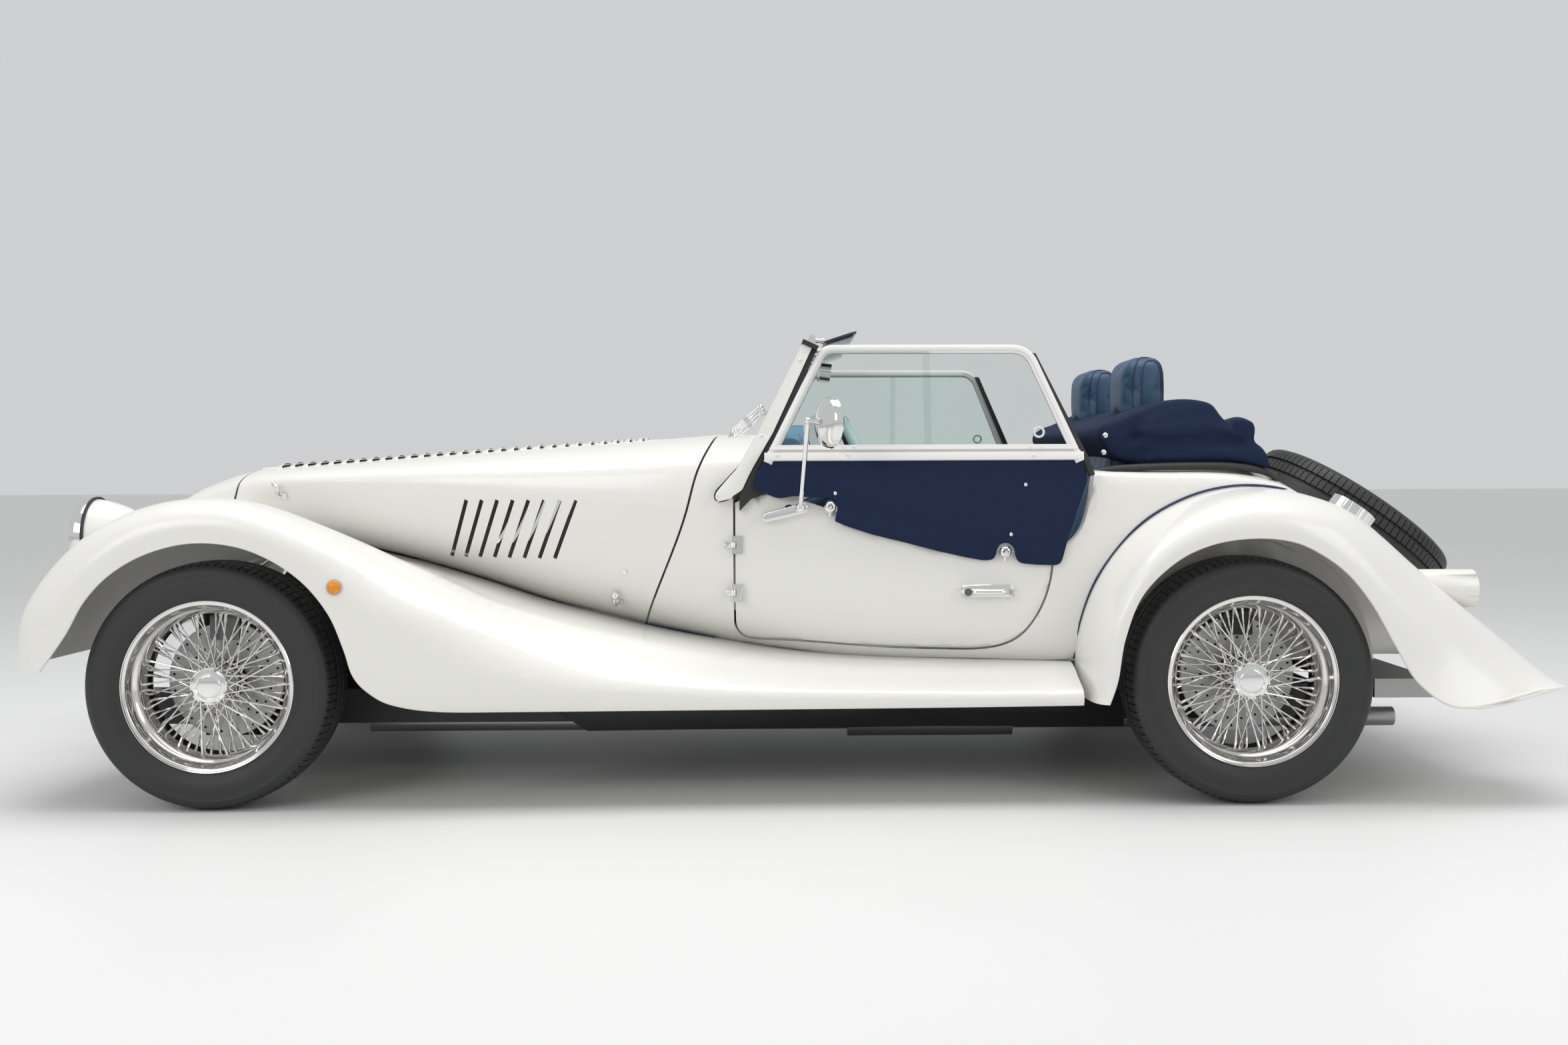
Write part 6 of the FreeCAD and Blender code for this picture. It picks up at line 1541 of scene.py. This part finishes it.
seatMeshes["cushion"] = puffed(softBlock((x0, -seatSizes["half"], z0), (x1, seatSizes["half"], z1),
                               Matrix(), 0.030), 0.008, 4.0, 0.014)
hinge = Vector((seatSizes["rear"], 0, seatSizes["floor"]))
leanBack = Matrix.Translation(hinge) @ Matrix.Rotation(seatSizes["lean"], 4, "Y")
(deep, shallow), (z0, z1) = seatSizes["backWall"], seatSizes["backHeight"]
seatMeshes["back"] = puffed(softBlock((-deep, -seatSizes["half"], z0),
                                      (-shallow, seatSizes["half"], z1), leanBack, 0.032),
                            0.008, 4.0, 0.012)
(x0, z0), (x1, z1) = seatSizes["rest"]
seatMeshes["rest"] = puffed(softBlock((x0, -seatSizes["restHalf"], z0),
                            (x1, seatSizes["restHalf"], z1), Matrix(), 0.038), 0.005, 4.0, 0.009)
print("seats blown up")

piping = bmesh.new()
restTree = BVHTree.FromBMesh(seatMeshes["rest"])
thinPiping, thickPiping = seatSizes["pipingRadii"]
for side, word in sides:
    for oval in seatSizes["restPiping"]:
        loop = [(x, side * 0.2, z) for x, z in stadium(*oval)]
        path = landed(restTree, loop, (0, -side, 0), 0.0002)
        tubeAlong(piping, path, thinPiping, 8, closed=True)
backTree = BVHTree.FromBMesh(seatMeshes["back"])
forward = leanBack.to_3x3() @ Vector((1, 0, 0))
inner = seatSizes["half"] - seatSizes["pipingInset"]
y, z, halfZ = seatSizes["backOval"]
loop = [leanBack @ Vector((-0.30, y, z)) for y, z in stadium(y, z, inner, halfZ, 40)]
tubeAlong(piping, landed(backTree, loop, forward, 0.0002), thickPiping, 8, closed=True)
cushionTree = BVHTree.FromBMesh(seatMeshes["cushion"])
x, y, halfX = seatSizes["cushionOval"]
loop = [(x, y, 0.8) for x, y in stadium(x, y, halfX, inner, 40)]
path = landed(cushionTree, loop, (0, 0, -1), 0.0002)
tubeAlong(piping, path, thickPiping, 8, closed=True)
seams = bmesh.new()
for y in seatSizes["seamsAt"]:
    start, run = seatSizes["cushionSeam"]
    line = [(start + run * k / 20, y, 0.8) for k in range(21)]
    tubeAlong(seams, landed(cushionTree, line, (0, 0, -1), -0.0008),
              seatSizes["seamRadius"], 6)
    start, run = seatSizes["backSeam"]
    line = [leanBack @ Vector((-0.30, y, start + run * k / 30)) for k in range(31)]
    tubeAlong(seams, landed(backTree, line, forward, -0.0008), seatSizes["seamRadius"], 6)


def copied(bm, offset):
    made = bm.copy()
    bmesh.ops.translate(made, vec=(0, offset, 0), verts=made.verts)
    return made


for side, word in sides:
    offset = side * car["seatOffset"]
    back = padPiece("seat_back_" + word, copied(seatMeshes["back"], offset), [blueLeather], "car")
    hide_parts("seat_" + word)
    padPiece("seat_cushion_" + word, copied(seatMeshes["cushion"], offset), [blueLeather], "car")
    padPiece("head_restraint_" + word, copied(seatMeshes["rest"], offset), [blueLeather], "car")
    asPiece("seat_piping_" + word, copied(piping, offset), [navyPiping], "car", 60)
    asPiece("seat_seams_" + word, copied(seams, offset), [navyPiping], "car", 60)
for bm in list(seatMeshes.values()) + [piping, seams]:
    bm.free()
print("seats done")


# the folded hood: four folds and a tail, pressed into one soft pile

hoodFolds = {
    "half": 0.548,
    "top": [(0.7925, 0.9070), (0.8060, 0.9280), (0.8526, 0.9420), (0.9229, 0.9740),
            (0.9808, 0.9860), (1.0387, 0.9878), (1.0801, 0.9820), (1.1008, 0.9720),
            (1.1340, 0.9210), (1.1250, 0.9170), (1.0801, 0.9310), (0.9973, 0.9275),
            (0.9352, 0.9215), (0.8732, 0.9035), (0.8400, 0.8720), (0.8300, 0.8560),
            (0.8060, 0.8780)],
    "second": [(0.9000, 0.9080), (0.9352, 0.9180), (0.9973, 0.9240), (1.0801, 0.9270),
               (1.1320, 0.9120), (1.1440, 0.9180), (1.1530, 0.9400), (1.1650, 0.9405),
               (1.2040, 0.9220), (1.1960, 0.8790), (1.1630, 0.8940), (1.1214, 0.9040),
               (1.0386, 0.9006), (0.9311, 0.9011)],
    "third": [(0.8600, 0.8860), (0.9311, 0.8975), (1.0386, 0.8966), (1.1214, 0.9000),
              (1.1628, 0.8900), (1.1920, 0.8750), (1.1700, 0.8700), (1.0593, 0.8700),
              (0.9807, 0.8810), (0.9269, 0.8835), (0.8900, 0.8800)],
    "tail": [(0.8290, 0.8520), (0.8450, 0.8740), (0.8800, 0.8790), (0.9269, 0.8800),
             (0.9807, 0.8770), (1.0400, 0.8680), (0.9900, 0.8620), (0.9300, 0.8500),
             (0.9145, 0.8400), (0.9020, 0.8290)],
    "bottom": [(0.9080, 0.8310), (0.9200, 0.8420), (0.9807, 0.8570), (1.0593, 0.8650),
               (1.1959, 0.8690), (1.2270, 0.8560), (1.2400, 0.8300), (1.2380, 0.8140),
               (1.1628, 0.8300), (0.9972, 0.8330)],
    "reach": {"top": 0.0, "second": 0.006, "third": -0.010, "tail": -0.004, "bottom": 0.010},
    "studs": ((0.8121, 0.8994), (0.8080, 0.8560)),
    "sealSide": [(0.7800, 0.560, 0.8060), (0.8400, 0.562, 0.8140), (0.9300, 0.560, 0.8190),
                 (1.0500, 0.556, 0.8210), (1.1500, 0.550, 0.8180), (1.2300, 0.530, 0.8040),
                 (1.2700, 0.480, 0.7900)],
    "sealRadius": 0.0110, "sealFlat": 0.7, "sealRise": 0.012,
}
bm = bmesh.new()
for name in ("top", "second", "third", "tail", "bottom"):
    half = hoodFolds["half"] + hoodFolds["reach"][name] - 0.012
    curve = smoothPath([(x, 0, z) for x, z in hoodFolds[name]], 3, closed=True)
    plateOf(bm, [(p.x, p.z) for p in curve], -half, half)
bmesh.ops.triangulate(bm, faces=bm.faces)
pile = puffed(bm, 0.0090, 2.5, 0.006)
for v in pile.verts:
    # the cloth hangs a little unevenly along the car's width, and its edge ripples
    wave = noise.noise(Vector((v.co.x * 7, v.co.y * 5, v.co.z * 16)))
    edge = max(0.0, abs(v.co.y) - 0.47) / 0.08
    v.co += v.normal * wave * 0.0035
    v.co.z += 0.006 * math.sin(v.co.x * 38 + v.co.z * 20) * edge * 0.35
    if abs(v.co.y) < 0.50:
        v.co.z -= 0.010 * (1 - (abs(v.co.y) / 0.50) ** 2) * max(0.0, v.co.z - 0.86) / 0.12
hoodPiece = padPiece("hood_pile", pile, [navyCloth], "car")
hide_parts("hood_folded")
bm = bmesh.new()
for side, word in sides:
    for x, z in hoodFolds["studs"]:
        screw(bm, (x, side * (hoodFolds["half"] + 0.0015), z), (0, side, 0), 0.0075)
asPiece("hood_studs", bm, [chrome], "car", 40)
bm = bmesh.new()
for side, word in sides:
    tubeAlong(bm, smoothPath(sided(hoodFolds["sealSide"], side), 6), hoodFolds["sealRadius"], 12,
              flat=hoodFolds["sealFlat"])
x, y, z = hoodFolds["sealSide"][-1]
tubeAlong(bm, [(x, (2 * k / 30 - 1) * y, z + hoodFolds["sealRise"] * math.sin(math.pi * k / 30))
               for k in range(31)], hoodFolds["sealRadius"], 12, flat=hoodFolds["sealFlat"])
asPiece("hood_seal", bm, [blackRubber], "car", 50)
print("hood done")


# floor, light and camera

stage = {"floor": (0.80, 0.80, 0.79), "size": 40.0, "world": 0.72}
bm = bmesh.new()
bmesh.ops.create_grid(bm, x_segments=1, y_segments=1, size=stage["size"])
floorMesh = bpy.data.meshes.new("studio_floor")
bm.to_mesh(floorMesh)
bm.free()
floor = bpy.data.objects.new("studio_floor", floorMesh)
scene.collection.objects.link(floor)
floorMesh.materials.append(finish("paleFloor", stage["floor"], gloss=0.5, spread=0.05, tone=0.01,
                                  scale=2))

world = bpy.data.worlds.new("softRoom")
scene.world = world
world.use_nodes = True
sky = world.node_tree.nodes["Background"]
sky.inputs["Color"].default_value = (0.86, 0.87, 0.88, 1)
sky.inputs["Strength"].default_value = stage["world"]


def softLight(name, place, target, size, power):
    lamp = bpy.data.lights.new(name, "AREA")
    lamp.shape = "RECTANGLE"
    lamp.size, lamp.size_y = size
    lamp.energy = power
    item = bpy.data.objects.new(name, lamp)
    scene.collection.objects.link(item)
    item.location = place
    item.rotation_mode = "QUATERNION"
    item.rotation_quaternion = (Vector(target) - Vector(place)).to_track_quat("-Z", "Y")


softLight("overhead", (0, -0.6, 4.6), (0, 0, 0.4), (6.0, 2.4), 150)
softLight("frontFill", (-3.5, -4.5, 2.6), (-0.5, 0, 0.5), (2.5, 2.0), 45)
softLight("rearFill", (4.0, -3.6, 2.4), (0.8, 0, 0.5), (2.0, 2.0), 30)

view = {"place": Vector((-0.0285, -4.5758, 0.8347)), "yaw": math.radians(0.610),
        "pitch": math.radians(0.711), "roll": math.radians(0.233), "focal": 2375.9,
        "middle": (1188.5, 722.8), "size": (2352, 1568)}
right = Vector((math.cos(view["yaw"]), -math.sin(view["yaw"]), 0))
ahead = Vector((math.sin(view["yaw"]), math.cos(view["yaw"]), 0))
up = Vector((0, 0, 1))
aheadDown = ahead * math.cos(view["pitch"]) - up * math.sin(view["pitch"])
upLean = up * math.cos(view["pitch"]) + ahead * math.sin(view["pitch"])
rightRoll = right * math.cos(view["roll"]) - upLean * math.sin(view["roll"])
upRoll = right * math.sin(view["roll"]) + upLean * math.cos(view["roll"])
lens = bpy.data.cameras.new("photoCamera")
lens.sensor_width = 36
lens.lens = view["focal"] / view["size"][0] * 36
lens.shift_x = (view["size"][0] / 2 - view["middle"][0]) / view["size"][0]
lens.shift_y = (view["middle"][1] - view["size"][1] / 2) / view["size"][0]
camera = bpy.data.objects.new("photoCamera", lens)
scene.collection.objects.link(camera)
camera.matrix_world = Matrix.Translation(view["place"]) @ Matrix(
    (rightRoll, upRoll, -aheadDown)).transposed().to_4x4()
scene.camera = camera
scene.view_settings.view_transform = "Standard"
